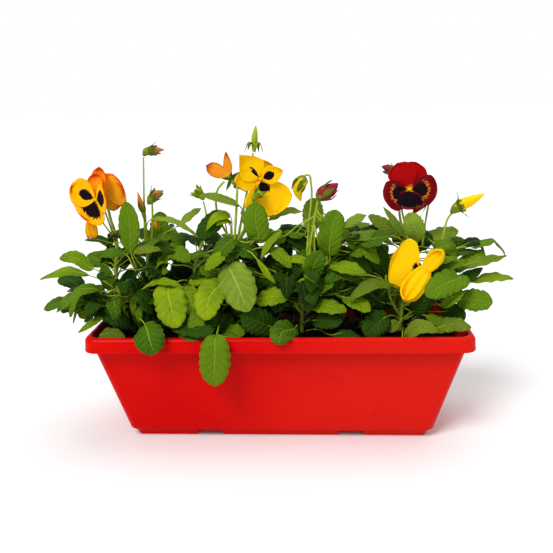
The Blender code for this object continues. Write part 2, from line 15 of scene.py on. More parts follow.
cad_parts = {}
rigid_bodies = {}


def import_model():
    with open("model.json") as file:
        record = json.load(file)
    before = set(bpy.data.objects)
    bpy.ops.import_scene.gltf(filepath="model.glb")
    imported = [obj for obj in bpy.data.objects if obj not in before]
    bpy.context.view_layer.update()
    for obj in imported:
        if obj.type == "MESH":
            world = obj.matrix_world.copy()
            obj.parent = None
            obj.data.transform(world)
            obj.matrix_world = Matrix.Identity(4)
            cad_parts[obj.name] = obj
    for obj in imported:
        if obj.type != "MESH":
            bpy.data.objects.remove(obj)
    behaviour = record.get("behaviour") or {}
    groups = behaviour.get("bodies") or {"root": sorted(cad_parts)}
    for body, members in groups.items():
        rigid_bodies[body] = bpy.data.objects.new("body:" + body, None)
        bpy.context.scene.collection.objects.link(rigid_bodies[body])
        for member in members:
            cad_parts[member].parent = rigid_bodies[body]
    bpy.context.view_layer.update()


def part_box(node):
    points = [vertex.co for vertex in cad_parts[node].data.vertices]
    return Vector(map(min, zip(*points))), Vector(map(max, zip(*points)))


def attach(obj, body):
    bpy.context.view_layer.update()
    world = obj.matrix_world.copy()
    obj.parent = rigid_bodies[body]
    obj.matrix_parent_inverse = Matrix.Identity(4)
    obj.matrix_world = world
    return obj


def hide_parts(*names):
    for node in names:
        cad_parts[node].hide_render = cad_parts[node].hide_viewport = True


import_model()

LOG = logging.getLogger("planter")
MM = 0.001
SKIN_UV = "skin_uv"
SUN_SHARE_LAYER = "tint"
Point = tuple[float, float, float]
Colour = tuple[float, float, float]


# ---------------------------------------------------------------- node graphs


class Graph:
    """A material's node tree, with short calls for the nodes that the finishes share."""

    def __init__(self, name: str) -> None:
        """Starts a material that holds one Principled shader.

        Args:
            name: The material's name.
        """
        self.material = bpy.data.materials.new(name)
        self.material.use_nodes = True
        self.tree = self.material.node_tree
        self.shader = self.tree.nodes["Principled BSDF"]

    def node(self, kind: str, **settings: object) -> bpy.types.Node:
        """Adds a node and sets its properties.

        Args:
            kind: The node's type name, without its ShaderNode prefix.
            **settings: Properties of the node.

        Returns:
            The new node.
        """
        made = self.tree.nodes.new(f"ShaderNode{kind}")
        for key, value in settings.items():
            setattr(made, key, value)
        return made

    def put(self, value: object, socket: bpy.types.NodeSocket) -> None:
        """Links a socket to an input, or sets the input's own value."""
        if isinstance(value, bpy.types.NodeSocket):
            self.tree.links.new(value, socket)
        elif isinstance(value, tuple) and len(value) == 3 and socket.type == "RGBA":
            socket.default_value = (*value, 1.0)
        else:
            socket.default_value = value

    def math(self, operation: str, *values: object, clamp: bool = False) -> bpy.types.NodeSocket:
        """Does one sum on up to three numbers or sockets.

        Args:
            operation: The Math node's operation.
            *values: What goes into its inputs.
            clamp: Whether the result stays from 0 to 1.

        Returns:
            The result's socket.
        """
        made = self.node("Math", operation=operation, use_clamp=clamp)
        for value, socket in zip(values, made.inputs):
            self.put(value, socket)
        return made.outputs[0]

    def step(self, value: object, low: float, high: float) -> bpy.types.NodeSocket:
        """A smooth rise from 0 at low to 1 at high, or a fall where low is the higher."""
        made = self.node("MapRange", interpolation_type="SMOOTHSTEP")
        ends = (low, high, 0.0, 1.0) if low < high else (high, low, 1.0, 0.0)
        for entry, socket in zip((value, *ends), made.inputs):
            self.put(entry, socket)
        return made.outputs[0]

    def mix(self, share: object, first: object, second: object) -> bpy.types.NodeSocket:
        """Blends two colours by a share from 0 to 1."""
        made = self.node("Mix", data_type="RGBA")
        self.put(share, made.inputs["Factor"])
        self.put(first, made.inputs[6])
        self.put(second, made.inputs[7])
        return made.outputs[2]

    def noise(self, place: object, scale: float, detail: float = 3.0, rough: float = 0.55) -> bpy.types.NodeSocket:
        """Cloudy noise at a place.

        Args:
            place: The coordinates' socket.
            scale: How fine it is.
            detail: How many finer layers it has.
            rough: How strong the finer layers are.

        Returns:
            The noise's value, from 0 to 1.
        """
        made = self.node("TexNoise")
        self.put(place, made.inputs["Vector"])
        made.inputs["Scale"].default_value = scale
        made.inputs["Detail"].default_value = detail
        made.inputs["Roughness"].default_value = rough
        return made.outputs[0]

    def cells(self, place: object, scale: float, feature: str = "F1") -> bpy.types.NodeSocket:
        """The distance to the nearest of many scattered points, or to the cells' edges."""
        made = self.node("TexVoronoi", feature=feature)
        self.put(place, made.inputs["Vector"])
        made.inputs["Scale"].default_value = scale
        return made.outputs["Distance"]

    def objects(self) -> bpy.types.NodeSocket:
        """The piece's own coordinates, in metres."""
        return self.node("TexCoord").outputs["Object"]

    def skin(self) -> tuple[bpy.types.NodeSocket, bpy.types.NodeSocket]:
        """Where a point lies on a leaf or petal.

        Returns:
            How far across it is, from -1 to 1, and how far along, from 0 to 1.
        """
        made = self.node("SeparateXYZ")
        self.put(self.node("UVMap", uv_map=SKIN_UV).outputs[0], made.inputs[0])
        across = self.math("MULTIPLY_ADD", made.outputs[0], 2.0, -1.0)
        return across, made.outputs[1]

    def vector(self, x: object, y: object, z: object = 0.0) -> bpy.types.NodeSocket:
        """Puts three numbers or sockets together as coordinates."""
        made = self.node("CombineXYZ")
        for value, socket in zip((x, y, z), made.inputs):
            self.put(value, socket)
        return made.outputs[0]

    def tint(self) -> bpy.types.NodeSocket:
        """Each piece's share of painted sunlight, from 0 to 1."""
        return self.node("Attribute", attribute_name=SUN_SHARE_LAYER).outputs["Fac"]

    def dress(self, colour: object, rough: object, height: object = None, depth: float = 0.2) -> None:
        """Links the shader's colour, roughness and bump.

        Args:
            colour: The base colour's socket.
            rough: The roughness's socket or number.
            height: The bump's height socket, if it has one.
            depth: The bump's depth in millimetres.
        """
        self.put(colour, self.shader.inputs["Base Color"])
        self.put(rough, self.shader.inputs["Roughness"])
        if height is not None:
            bump = self.node("Bump")
            bump.inputs["Distance"].default_value = depth * MM
            self.put(height, bump.inputs["Height"])
            self.put(bump.outputs[0], self.shader.inputs["Normal"])


# ------------------------------------------------------------------ finishes


@dataclass(frozen=True)
class RedPlastic:
    """Glossy moulded plastic with faint clouding, fine scuffs, specks, dried water marks and a painted pink sheen over
    its right-hand end.
    """

    colour: Colour = (0.58, 0.0, 0.0)
    faded: Colour = (0.65, 0.002, 0.0)
    # A pale pink that paints both the scuffs and the sheen.
    scuff_and_sheen: Colour = (0.66, 0.011, 0.005)
    mark: Colour = (0.42, 0.0, 0.0)

    def make(self) -> bpy.types.Material:
        """Builds the plastic."""
        graph = Graph("red_moulded_plastic")
        place = graph.objects()
        cloud = graph.noise(place, 9.0, 4.0)
        colour = graph.mix(graph.step(cloud, 0.35, 0.7), self.colour, self.faded)
        split = graph.node("SeparateXYZ")
        graph.put(place, split.inputs[0])
        # Painted sheen: towards the +X end, broken by noise, the red turns towards the pale pink, standing in for a
        # soft reflection.
        sheen_side = graph.math("ADD", split.outputs[0], graph.math("MULTIPLY", graph.noise(place, 6.0, 3.0), 0.3))
        colour = graph.mix(graph.math("MULTIPLY", graph.step(sheen_side, 0.02, 0.3), 0.8), colour, self.scuff_and_sheen)
        smear = graph.noise(place, 26.0, 6.0, 0.7)
        stain = graph.step(smear, 0.6, 0.7)
        colour = graph.mix(graph.math("MULTIPLY", stain, 0.35), colour, self.mark)
        grain = graph.noise(graph.vector(graph.math("MULTIPLY", split.outputs[0], 9.0), split.outputs[1], graph.math(
            "MULTIPLY", split.outputs[2], 90.0)), 3.0, 5.0, 0.7)
        scuff = graph.step(grain, 0.64, 0.72)
        colour = graph.mix(graph.math("MULTIPLY", scuff, 0.22), colour, self.scuff_and_sheen)
        specks = graph.step(graph.cells(place, 75.0), 0.1, 0.05)
        rare = graph.step(graph.noise(place, 22.0), 0.56, 0.62)
        speck = graph.math("MULTIPLY", specks, rare)
        colour = graph.mix(graph.math("MULTIPLY", speck, 0.45), colour, (0.05, 0.02, 0.02))
        fine = graph.noise(place, 420.0, 3.0)
        rough = graph.math("MULTIPLY_ADD", fine, 0.08, 0.24)
        rough = graph.math("MULTIPLY_ADD", stain, 0.16, rough)
        height = graph.math("MULTIPLY_ADD", cloud, 3.0, graph.math("MULTIPLY", fine, 0.25))
        graph.dress(colour, rough, height, 0.16)
        graph.shader.inputs["Specular IOR Level"].default_value = 0.06
        return graph.material


@dataclass(frozen=True)
class PottingMix:
    """Damp dark potting mix, from black peat to brown bark."""

    name: str
    dark: Colour
    light: Colour

    def make(self) -> bpy.types.Material:
        """Builds the mix."""
        graph = Graph(self.name)
        place = graph.objects()
        grain = graph.noise(place, 260.0, 6.0, 0.7)
        clump = graph.noise(place, 60.0, 3.0)
        colour = graph.mix(graph.step(grain, 0.35, 0.75), self.dark, self.light)
        colour = graph.mix(graph.math("MULTIPLY", clump, 0.5), colour, self.dark)
        rough = graph.math("MULTIPLY_ADD", clump, -0.3, 1.0)
        graph.dress(colour, rough, graph.math("ADD", grain, clump), 1.2)
        graph.shader.inputs["Specular IOR Level"].default_value = 0.08
        return graph.material


class Tone(Enum):
    """The leaf colours: a shaded green, a sunny green and the veins' green; the shaded and sunny greens are painted
    shade and painted sunlight. The near-black tone is painted shade for the foliage's inside and back; the bright tone
    is partly young leaves' lighter green, partly painted front light.
    """

    BRIGHT = ((0.1, 0.2, 0.0), (0.25, 0.35, 0.001), (0.36, 0.46, 0.025))
    MID = ((0.026, 0.088, 0.0), (0.095, 0.19, 0.001), (0.2, 0.31, 0.02))
    # Near-black painted shade, for leaves that fill the shaded inside, back and low gaps of the foliage.
    DARK = ((0.004, 0.019, 0.001), (0.018, 0.058, 0.001), (0.06, 0.13, 0.009))
    PALE = ((0.12, 0.21, 0.009), (0.24, 0.33, 0.022), (0.36, 0.45, 0.08))
    OLIVE = ((0.06, 0.115, 0.003), (0.14, 0.21, 0.008), (0.25, 0.31, 0.04))


@dataclass(frozen=True)
class LeafFinish:
    """A satin leaf with a pale midrib, arching side veins, fine netting and a thin bright margin, mixed from painted
    shade to painted sunlight.
    """

    tone: Tone
    underside: bool = False
    side_veins: float = 6.0

    def make(self) -> bpy.types.Material:
        """Builds the leaf's skin."""
        shade, sunny, vein = self.tone.value
        if self.underside:
            shade, sunny = (tuple(c * 0.75 + v * 0.3 for c, v in zip(side, vein)) for side in (shade, sunny))
        side = "underside" if self.underside else "top"
        graph = Graph(f"leaf_{self.tone.name.lower()}_{side}")
        place = graph.objects()
        across, along = graph.skin()
        out = graph.math("ABSOLUTE", across)
        wander = graph.noise(place, 90.0, 2.0)
        phase = graph.math("MULTIPLY_ADD", along, self.side_veins, graph.math("MULTIPLY", out, -1.9))
        phase = graph.math("MULTIPLY_ADD", wander, 0.5, phase)
        ridge = graph.math("MULTIPLY", graph.math("PINGPONG", phase, 0.5), 2.0)
        line = graph.math("MULTIPLY", graph.step(ridge, 0.2, 0.0), graph.step(out, 1.0, 0.7))
        rib_width = graph.math("MULTIPLY_ADD", along, 0.9, 0.8)
        rib = graph.step(graph.math("MULTIPLY", out, rib_width), 0.1, 0.03)
        veins = graph.math("MAXIMUM", rib, graph.math("MULTIPLY", line, 0.6))
        netting = graph.cells(place, 420.0, "DISTANCE_TO_EDGE")
        net = graph.step(netting, 0.09, 0.0)
        # Painted light and shade: noise and the piece's sun share mix the shaded green towards the sunny green.
        light = graph.math("ADD", graph.noise(place, 34.0, 2.0), graph.math("MULTIPLY_ADD", graph.tint(), 0.9, -0.45))
        colour = graph.mix(graph.step(light, 0.2, 0.85), shade, sunny)
        colour = graph.mix(graph.math("MULTIPLY", net, 0.22), colour, vein)
        colour = graph.mix(graph.math("MULTIPLY", veins, 0.75), colour, vein)
        margin = graph.math("MAXIMUM", graph.step(out, 0.9, 1.0), graph.step(along, 0.96, 1.0))
        colour = graph.mix(graph.math("MULTIPLY", margin, 0.45), colour, vein)
        puff = graph.math("POWER", ridge, 0.6)
        sign = -1.0 if self.underside else 1.0
        height = graph.math("MULTIPLY_ADD", rib, -1.0, graph.math("MULTIPLY_ADD", net, -0.12, puff))
        rough = graph.math("MULTIPLY_ADD", graph.noise(place, 160.0, 2.0), 0.16, 0.36 if not self.underside else 0.52)
        graph.dress(colour, rough, graph.math("MULTIPLY", height, sign), 0.75)
        graph.shader.inputs["Specular IOR Level"].default_value = 0.07
        graph.shader.inputs["Subsurface Weight"].default_value = 0.12
        graph.shader.inputs["Subsurface Radius"].default_value = (0.5, 1.0, 0.1)
        graph.shader.inputs["Subsurface Scale"].default_value = 0.002
        return graph.material


@dataclass(frozen=True)
class StemFinish:
    """A smooth juicy stalk, streaked lengthways, with painted sunny and shaded patches."""

    name: str = "green_stalk"
    shade: Colour = (0.2, 0.32, 0.012)
    sunny: Colour = (0.4, 0.52, 0.03)

    def make(self) -> bpy.types.Material:
        """Builds the stalk's skin."""
        graph = Graph(self.name)
        place = graph.objects()
        blush = graph.noise(place, 45.0, 2.0)
        streak = graph.noise(graph.vector(*self._stretched(graph, place)), 1.0, 3.0)
        # Painted light and shade: the streaks and a blush noise mix the shaded green towards the sunny green.
        light = graph.math("MULTIPLY_ADD", streak, 0.5, graph.math("MULTIPLY", blush, 0.6))
        colour = graph.mix(graph.step(light, 0.3, 0.75), self.shade, self.sunny)
        rough = graph.math("MULTIPLY_ADD", streak, 0.2, 0.34)
        graph.dress(colour, rough, streak, 0.1)
        graph.shader.inputs["Specular IOR Level"].default_value = 0.2
        graph.shader.inputs["Subsurface Weight"].default_value = 0.1
        graph.shader.inputs["Subsurface Scale"].default_value = 0.002
        return graph.material

    @staticmethod
    def _stretched(graph: Graph, place: bpy.types.NodeSocket) -> list[bpy.types.NodeSocket]:
        """Coordinates that are fine across a stalk and long up it."""
        split = graph.node("SeparateXYZ")
        graph.put(place, split.inputs[0])
        return [graph.math("MULTIPLY", socket, scale) for socket, scale in zip(split.outputs, (1400.0, 1400.0, 90.0))]


@dataclass(frozen=True)
class PetalFinish:
    """A velvety petal: its field, its flamed edge and its dark blotch with a bright halo.

    The blotch is an oval on the petal: its middle and half length along it, and its
    half width across it, each as a share of the petal.
    """

    name: str
    throat: Colour
    field: Colour
    edge: Colour
    edge_from: float = 0.85
    flame: float = 0.2
    blotch: tuple[float, float, float] | None = None
    halo: Colour | None = None
    halo_width: float = 0.16
    ragged: float = 0.3
    dark: Colour = (0.006, 0.001, 0.004)
    throat_reach: float = 0.22
    streaks: float = 0.35

    def make(self) -> bpy.types.Material:
        """Builds the petal's skin."""
        graph = Graph(self.name)
        across, along = graph.skin()
        out = graph.math("ABSOLUTE", across)
        spread = graph.math("MULTIPLY", across, 14.0)
        streak = graph.noise(graph.vector(spread, graph.math("MULTIPLY", along, 1.6)), 1.0, 4.0, 0.65)
        swing = graph.math("SUBTRACT", streak, 0.5)
        colour = graph.mix(graph.step(along, 0.0, self.throat_reach), self.throat, self.field)
        rim = graph.math("MAXIMUM", along, graph.math("POWER", out, 1.6))
        rim = graph.math("MULTIPLY_ADD", swing, self.flame * 2.0, rim)
        colour = graph.mix(graph.step(rim, self.edge_from, 1.02), colour, self.edge)
        deep = tuple(c * 0.8 for c in self.field)
        colour = graph.mix(graph.math("MULTIPLY", graph.step(streak, 0.5, 0.7), self.streaks), colour, deep)
        if self.blotch:
            colour = self._blotched(graph, colour, across, along, swing)
        rough = graph.math("MULTIPLY_ADD", streak, 0.15, 0.46)
        graph.dress(colour, rough, streak, 0.18)
        graph.shader.inputs["Specular IOR Level"].default_value = 0.06
        graph.shader.inputs["Subsurface Weight"].default_value = 0.1
        graph.shader.inputs["Subsurface Scale"].default_value = 0.002
        return graph.material

    def _blotched(self, graph: Graph, colour: object, across: object, along: object, swing: object) -> object:
        """Lays the blotch and its halo over a colour."""
        middle, reach, width = self.blotch
        down = graph.math("DIVIDE", graph.math("SUBTRACT", along, middle), reach)
        side = graph.math("DIVIDE", across, width)
        square = graph.math("ADD", graph.math("MULTIPLY", down, down), graph.math("MULTIPLY", side, side))
        near = graph.math("MULTIPLY_ADD", swing, self.ragged * 2.0, graph.math("SQRT", square))
        if self.halo:
            halo = graph.step(near, 1.0 + self.halo_width, 0.98 + self.halo_width * 0.6)
            halo = graph.math("MULTIPLY", halo, graph.step(along, middle, middle + reach * 0.6))
            colour = graph.mix(halo, colour, self.halo)
        return graph.mix(graph.step(near, 1.02, 0.95), colour, self.dark)


@dataclass(frozen=True)
class PlainPaint:
    """The studio floor's matt paint."""

    colour: Colour = (0.93, 0.93, 0.93)

    def make(self) -> bpy.types.Material:
        """Builds the paint."""
        graph = Graph("studio_floor")
        graph.shader.inputs["Base Color"].default_value = (*self.colour, 1.0)
        graph.shader.inputs["Roughness"].default_value = 0.8
        return graph.material


YELLOW_THROAT: Colour = (0.9, 0.5, 0.0)
GOLD: Colour = (1.0, 0.45, 0.0)
AMBER: Colour = (0.98, 0.33, 0.001)
FLAME: Colour = (0.68, 0.05, 0.001)
RUST: Colour = (0.75, 0.11, 0.001)
YELLOW: Colour = (1.0, 0.57, 0.0)
PALE_GOLD: Colour = (1.0, 0.62, 0.001)
WINE: Colour = (0.13, 0.0, 0.003)
CRIMSON: Colour = (0.36, 0.0, 0.001)

PETAL_FINISHES = {
    "orange_upper": PetalFinish("orange_upper_petal", YELLOW_THROAT, AMBER, FLAME, 0.6, 0.25, streaks=0.5),
    "orange_side": PetalFinish(
        "orange_side_petal", YELLOW_THROAT, GOLD, RUST, 0.92, 0.08, blotch=(0.36, 0.3, 0.42), ragged=0.5
    ),
    "orange_narrow": PetalFinish(
        "orange_narrow_petal", YELLOW_THROAT, GOLD, RUST, 0.84, 0.1, blotch=(0.36, 0.34, 0.6), ragged=0.5
    ),
    "orange_lower": PetalFinish(
        "orange_lower_petal", YELLOW_THROAT, GOLD, RUST, 0.92, 0.08, blotch=(0.42, 0.38, 0.7), ragged=0.8
    ),
    "orange_back": PetalFinish(
        "orange_petal_back", (1.0, 0.5, 0.02), (1.0, 0.42, 0.01), (0.72, 0.05, 0.001), 0.66, 0.45, streaks=0.5
    ),
    "yellow_plain": PetalFinish("yellow_plain_petal", GOLD, YELLOW, PALE_GOLD, 0.8, 0.1),
    "yellow_hood": PetalFinish("yellow_hood_petal", GOLD, YELLOW, PALE_GOLD, 0.8, 0.1, blotch=(0.26, 0.24, 0.15)),
    "yellow_blotched": PetalFinish(
        "yellow_blotched_petal", GOLD, YELLOW, PALE_GOLD, 0.8, 0.1, blotch=(0.34, 0.28, 0.5), ragged=0.4
    ),
    "yellow_lip": PetalFinish("yellow_lip_petal", GOLD, YELLOW, PALE_GOLD, 0.8, 0.1, blotch=(0.2, 0.17, 0.42), ragged=0.8),
    "eye": PetalFinish("flower_eye", (0.55, 0.5, 0.02), (0.8, 0.55, 0.01), (0.9, 0.5, 0.0)),
    "golden_fan": PetalFinish(
        "golden_fan_petal", GOLD, YELLOW, PALE_GOLD, 0.8, 0.1, blotch=(0.08, 0.13, 0.4), ragged=1.4
    ),
    "red_upper": PetalFinish(
        "red_upper_petal", YELLOW_THROAT, CRIMSON, (0.42, 0.001, 0.004), 0.8, 0.15, throat_reach=0.12
    ),
    "red_side": PetalFinish(
        "red_side_petal", YELLOW_THROAT, WINE, (0.26, 0.0, 0.006), 0.86, 0.1,
        blotch=(0.36, 0.32, 0.6), halo=(0.9, 0.26, 0.0), halo_width=0.14, ragged=0.9, throat_reach=0.08,
    ),
    "red_lower": PetalFinish(
        "red_lower_petal", YELLOW_THROAT, WINE, (0.24, 0.0, 0.006), 0.9, 0.1,
        blotch=(0.48, 0.5, 0.84), halo=(0.8, 0.2, 0.0), halo_width=0.04, ragged=0.6, throat_reach=0.06,
    ),
    "red_back": PetalFinish("red_petal_back", (0.3, 0.02, 0.01), (0.3, 0.01, 0.012), (0.36, 0.01, 0.02)),
    "spent_orange": PetalFinish(
        "spent_orange_petal", (0.8, 0.4, 0.02), (0.78, 0.26, 0.012), (0.42, 0.045, 0.003), 0.62, 0.35, streaks=0.8
    ),
    "spent_red": PetalFinish("spent_red_petal", (0.5, 0.2, 0.02), (0.55, 0.07, 0.01), (0.3, 0.015, 0.006), 0.7, 0.3),
    "yellow_back": PetalFinish("yellow_petal_back", GOLD, (0.95, 0.5, 0.0), (0.98, 0.55, 0.0)),
    "fading_bud": PetalFinish("fading_bud", (0.25, 0.2, 0.02), (0.38, 0.19, 0.04), (0.42, 0.17, 0.05), 0.7, 0.4),
    "yellow_bud": PetalFinish("yellow_bud", (0.35, 0.4, 0.01), (0.7, 0.44, 0.002), (0.75, 0.5, 0.002), 0.8, 0.25),
    "red_bud": PetalFinish("red_bud", (0.12, 0.03, 0.01), (0.24, 0.003, 0.02), (0.3, 0.01, 0.04), 0.8, 0.3),
    "spent_yellow": PetalFinish("spent_yellow_petal", (0.6, 0.3, 0.01), (0.85, 0.42, 0.003), (0.6, 0.2, 0.005), 0.8, 0.3),
}


class Finishes:
    """Makes each finish once and hands it out by name."""

    def __init__(self) -> None:
        """Starts with no finish made."""
        self._made: dict[str, bpy.types.Material] = {}

    def leaf(self, tone: Tone) -> list[bpy.types.Material]:
        """The skins of a leaf: top, underside and stalk."""
        keys = (f"top_{tone.name}", f"under_{tone.name}")
        if keys[0] not in self._made:
            self._made[keys[0]] = LeafFinish(tone).make()
            self._made[keys[1]] = LeafFinish(tone, underside=True).make()
        return [self._made[keys[0]], self._made[keys[1]], self.stalk()]

    def stalk(self) -> bpy.types.Material:
        """The stalks' skin."""
        if "stalk" not in self._made:
            self._made["stalk"] = StemFinish().make()
        return self._made["stalk"]

    def petal(self, name: str) -> bpy.types.Material:
        """One petal finish by its name."""
        if name not in self._made:
            self._made[name] = PETAL_FINISHES[name].make()
        return self._made[name]


# -------------------------------------------------------------------- shapes


class Path:
    """A smooth curve through a list of points, read at 0 for the first, 1 for the next."""

    def __init__(self, points: tuple[Point, ...]) -> None:
        """Works out the curve's slope at each point.

        Args:
            points: The points in millimetres.
        """
        self.points = [Vector(p) * MM for p in points]
        spans = [(b - a).length for a, b in zip(self.points, self.points[1:])]
        runs = [(b - a) / span for a, b, span in zip(self.points, self.points[1:], spans)]
        inner = []
        for i in range(1, len(runs)):
            inner.append((runs[i - 1] * spans[i] + runs[i] * spans[i - 1]) / (spans[i - 1] + spans[i]))
        if inner:
            self.slopes = [runs[0] * 1.5 - inner[0] * 0.5, *inner, runs[-1] * 1.5 - inner[-1] * 0.5]
        else:
            self.slopes = [runs[0], runs[0]]

    def at(self, place: float) -> Vector:
        """The point at a place along the curve, in metres."""
        i = max(min(int(place), len(self.points) - 2), 0)
        t = place - i
        a, b = self.points[i], self.points[i + 1]
        span = (b - a).length
        near, far = self.slopes[i] * span, self.slopes[i + 1] * span
        start = a * (2 * t**3 - 3 * t**2 + 1) + near * (t**3 - 2 * t**2 + t)
        return start + b * (3 * t**2 - 2 * t**3) + far * (t**3 - t**2)

    def direction(self, place: float) -> Vector:
        """The way the curve runs at a place."""
        top = len(self.points) - 1
        ahead = self.at(min(place + 0.02, top))
        return (ahead - self.at(max(place - 0.02, 0.0))).normalized()

    def axes(self, place: float, face: Vector) -> tuple[Vector, Vector]:
        """The side and the upward direction at a place, for a strip that looks towards face."""
        along = self.direction(place)
        up = (face - along * face.dot(along)).normalized()
        return along.cross(up), up


Place = Callable[[float, float], Vector]


class Shaper:
    """Builds the shapes that the pieces are made of, in a bmesh."""

    def __init__(self) -> None:
        """Starts an empty mesh with a skin map."""
        self.bm = bmesh.new()
        self.uv = self.bm.loops.layers.uv.new(SKIN_UV)
        # Each corner's share of painted sunlight, which the leaf skins read.
        self.shade = self.bm.verts.layers.float.new(SUN_SHARE_LAYER)
        self.tint = 0.5

    def sheet(self, place: Place, across: int, along: int, thickness: float, slots: tuple[int, int] = (0, 1),
              ease: float = 1.0) -> None:
        """Adds a thin closed sheet, shaped from a flat grid.

        Args:
            place: Gives the point for a place across, from -1 to 1, and along, from 0 to 1.
            across: How many faces lie across it.
            along: How many faces lie along it.
            thickness: The sheet's thickness in millimetres.
            slots: The material slots of its upper side and its underside.
            ease: How much closer together its rows lie towards its far end.
        """
        made = bmesh.ops.create_grid(self.bm, x_segments=across, y_segments=along, size=1.0)
        verts = made["verts"]
        faces = list({f for v in verts for f in v.link_faces})
        for face in faces:
            face.material_index = slots[0]
            face.smooth = True
            for loop in face.loops:
                co = loop.vert.co
                loop[self.uv].uv = (co.x / 2 + 0.5, 1 - max(0.5 - co.y / 2, 0.0) ** ease)
        for vert in verts:
            vert.co = place(vert.co.x, 1 - max(0.5 - vert.co.y / 2, 0.0) ** ease)
            vert[self.shade] = self.tint
        self._thicken(faces, thickness, slots[1])

    def _thicken(self, faces: list, thickness: float, slot: int) -> None:
        """Gives a sheet its underside, which takes another slot."""
        for face in faces:
            face.normal_update()
        copy = bmesh.ops.duplicate(self.bm, geom=faces)
        below = [g for g in copy["geom"] if isinstance(g, bmesh.types.BMFace)]
        corners = {v for f in below for v in f.verts}
        normals = {}
        for vert in corners:
            total = Vector()
            for face in vert.link_faces:
                total += face.normal
            normals[vert] = total.normalized()
        for vert, normal in normals.items():
            vert.co -= normal * thickness * MM
        bmesh.ops.reverse_faces(self.bm, faces=below)
        for face in below:
            face.material_index = slot
        edges = [e for f in (*faces, *below) for e in f.edges if e.is_boundary]
        rim = bmesh.ops.bridge_loops(self.bm, edges=list(set(edges)))
        for face in rim["faces"]:
            face.material_index = slot
            face.smooth = True
            for loop in face.loops:
                loop[self.uv].uv = (1.0, 0.5)

    def tube(self, path: Path, ends: tuple[float, float], radius: Callable[[float], float], sides: int, steps: int,
             slot: int = 0, wave: Callable[[float, float], float] | None = None,
             sink: Callable[[float], float] | None = None) -> None:
        """Adds a round solid swept along a path, with closed ends.

        Args:
            path: The path it follows.
            ends: Where on the path it starts and ends.
            radius: Its radius in millimetres at a share of its length.
            sides: How many sides it has.
            steps: How many rings lie along it.
            slot: Its material slot.
            wave: How much the radius grows at an angle and a share of the length.
            sink: How far the tube drops behind its path at a share of the length.
        """
        ring = bmesh.ops.create_circle(self.bm, cap_ends=True, segments=sides, radius=1.0)["verts"]
        made = [ring]
        cap = list({f for v in ring for f in v.link_faces})
        edges = list(cap[0].edges)
        for _ in range(steps):
            grown = bmesh.ops.extrude_edge_only(self.bm, edges=edges)["geom"]
            edges = [g for g in grown if isinstance(g, bmesh.types.BMEdge) and g.is_boundary]
            fresh = [g for g in grown if isinstance(g, bmesh.types.BMVert)]
            made.append(self._in_step(made[-1], fresh))
        face = Vector((0.3, -1.0, 0.15))
        for i, loop in enumerate(made):
            share = i / steps
            place = ends[0] + (ends[1] - ends[0]) * share
            side, up = path.axes(place, face)
            centre = path.at(place) - up * (sink(share) * MM if sink else 0.0)
            for k, vert in enumerate(loop):
                vert[self.shade] = self.tint
                angle = 2 * math.pi * k / sides
                grow = 1.0 + (wave(angle, share) if wave else 0.0)
                reach = radius(share) * grow * MM
                vert.co = centre + (side * math.cos(angle) + up * math.sin(angle)) * reach
        bmesh.ops.contextual_create(self.bm, geom=made[-1])
        skin = list({f for loop in made for v in loop for f in v.link_faces})
        for face_made in skin:
            face_made.material_index = slot
            face_made.smooth = True
        bmesh.ops.recalc_face_normals(self.bm, faces=skin)

    def absorb(self, other: "Shaper") -> None:
        """Moves another mesh's faces into this one."""
        mesh = bpy.data.meshes.new("absorbed")
        other.bm.to_mesh(mesh)
        other.bm.free()
        self.bm.from_mesh(mesh)
        bpy.data.meshes.remove(mesh)

    @staticmethod
    def _in_step(old: list, fresh: list) -> list:
        """Puts a new ring's corners in the order of the ring that it grew from."""
        new = set(fresh)
        return [next(e.other_vert(v) for e in v.link_edges if e.other_vert(v) in new) for v in old]

    def finish(self, name: str, body_slot: str, materials: list, replaces: tuple[str, ...] = ()) -> bpy.types.Object:
        """Turns the mesh into a piece that rides on the planter.

        Args:
            name: The piece's name.
            body_slot: The record's material slot; not used.
            materials: Its materials in slot order.
            replaces: The CAD nodes that it stands for.

        Returns:
            The piece.
        """
        mesh = bpy.data.meshes.new(name)
        self.bm.to_mesh(mesh)
        self.bm.free()
        for material in materials:
            mesh.materials.append(material)
        piece = bpy.data.objects.new(name, mesh)
        bpy.context.scene.collection.objects.link(piece)
        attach(piece, "root")
        if replaces:
            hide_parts(*replaces)
        LOG.info("built %s with %d faces", name, len(mesh.polygons))
        return piece


# -------------------------------------------------------------------- trough


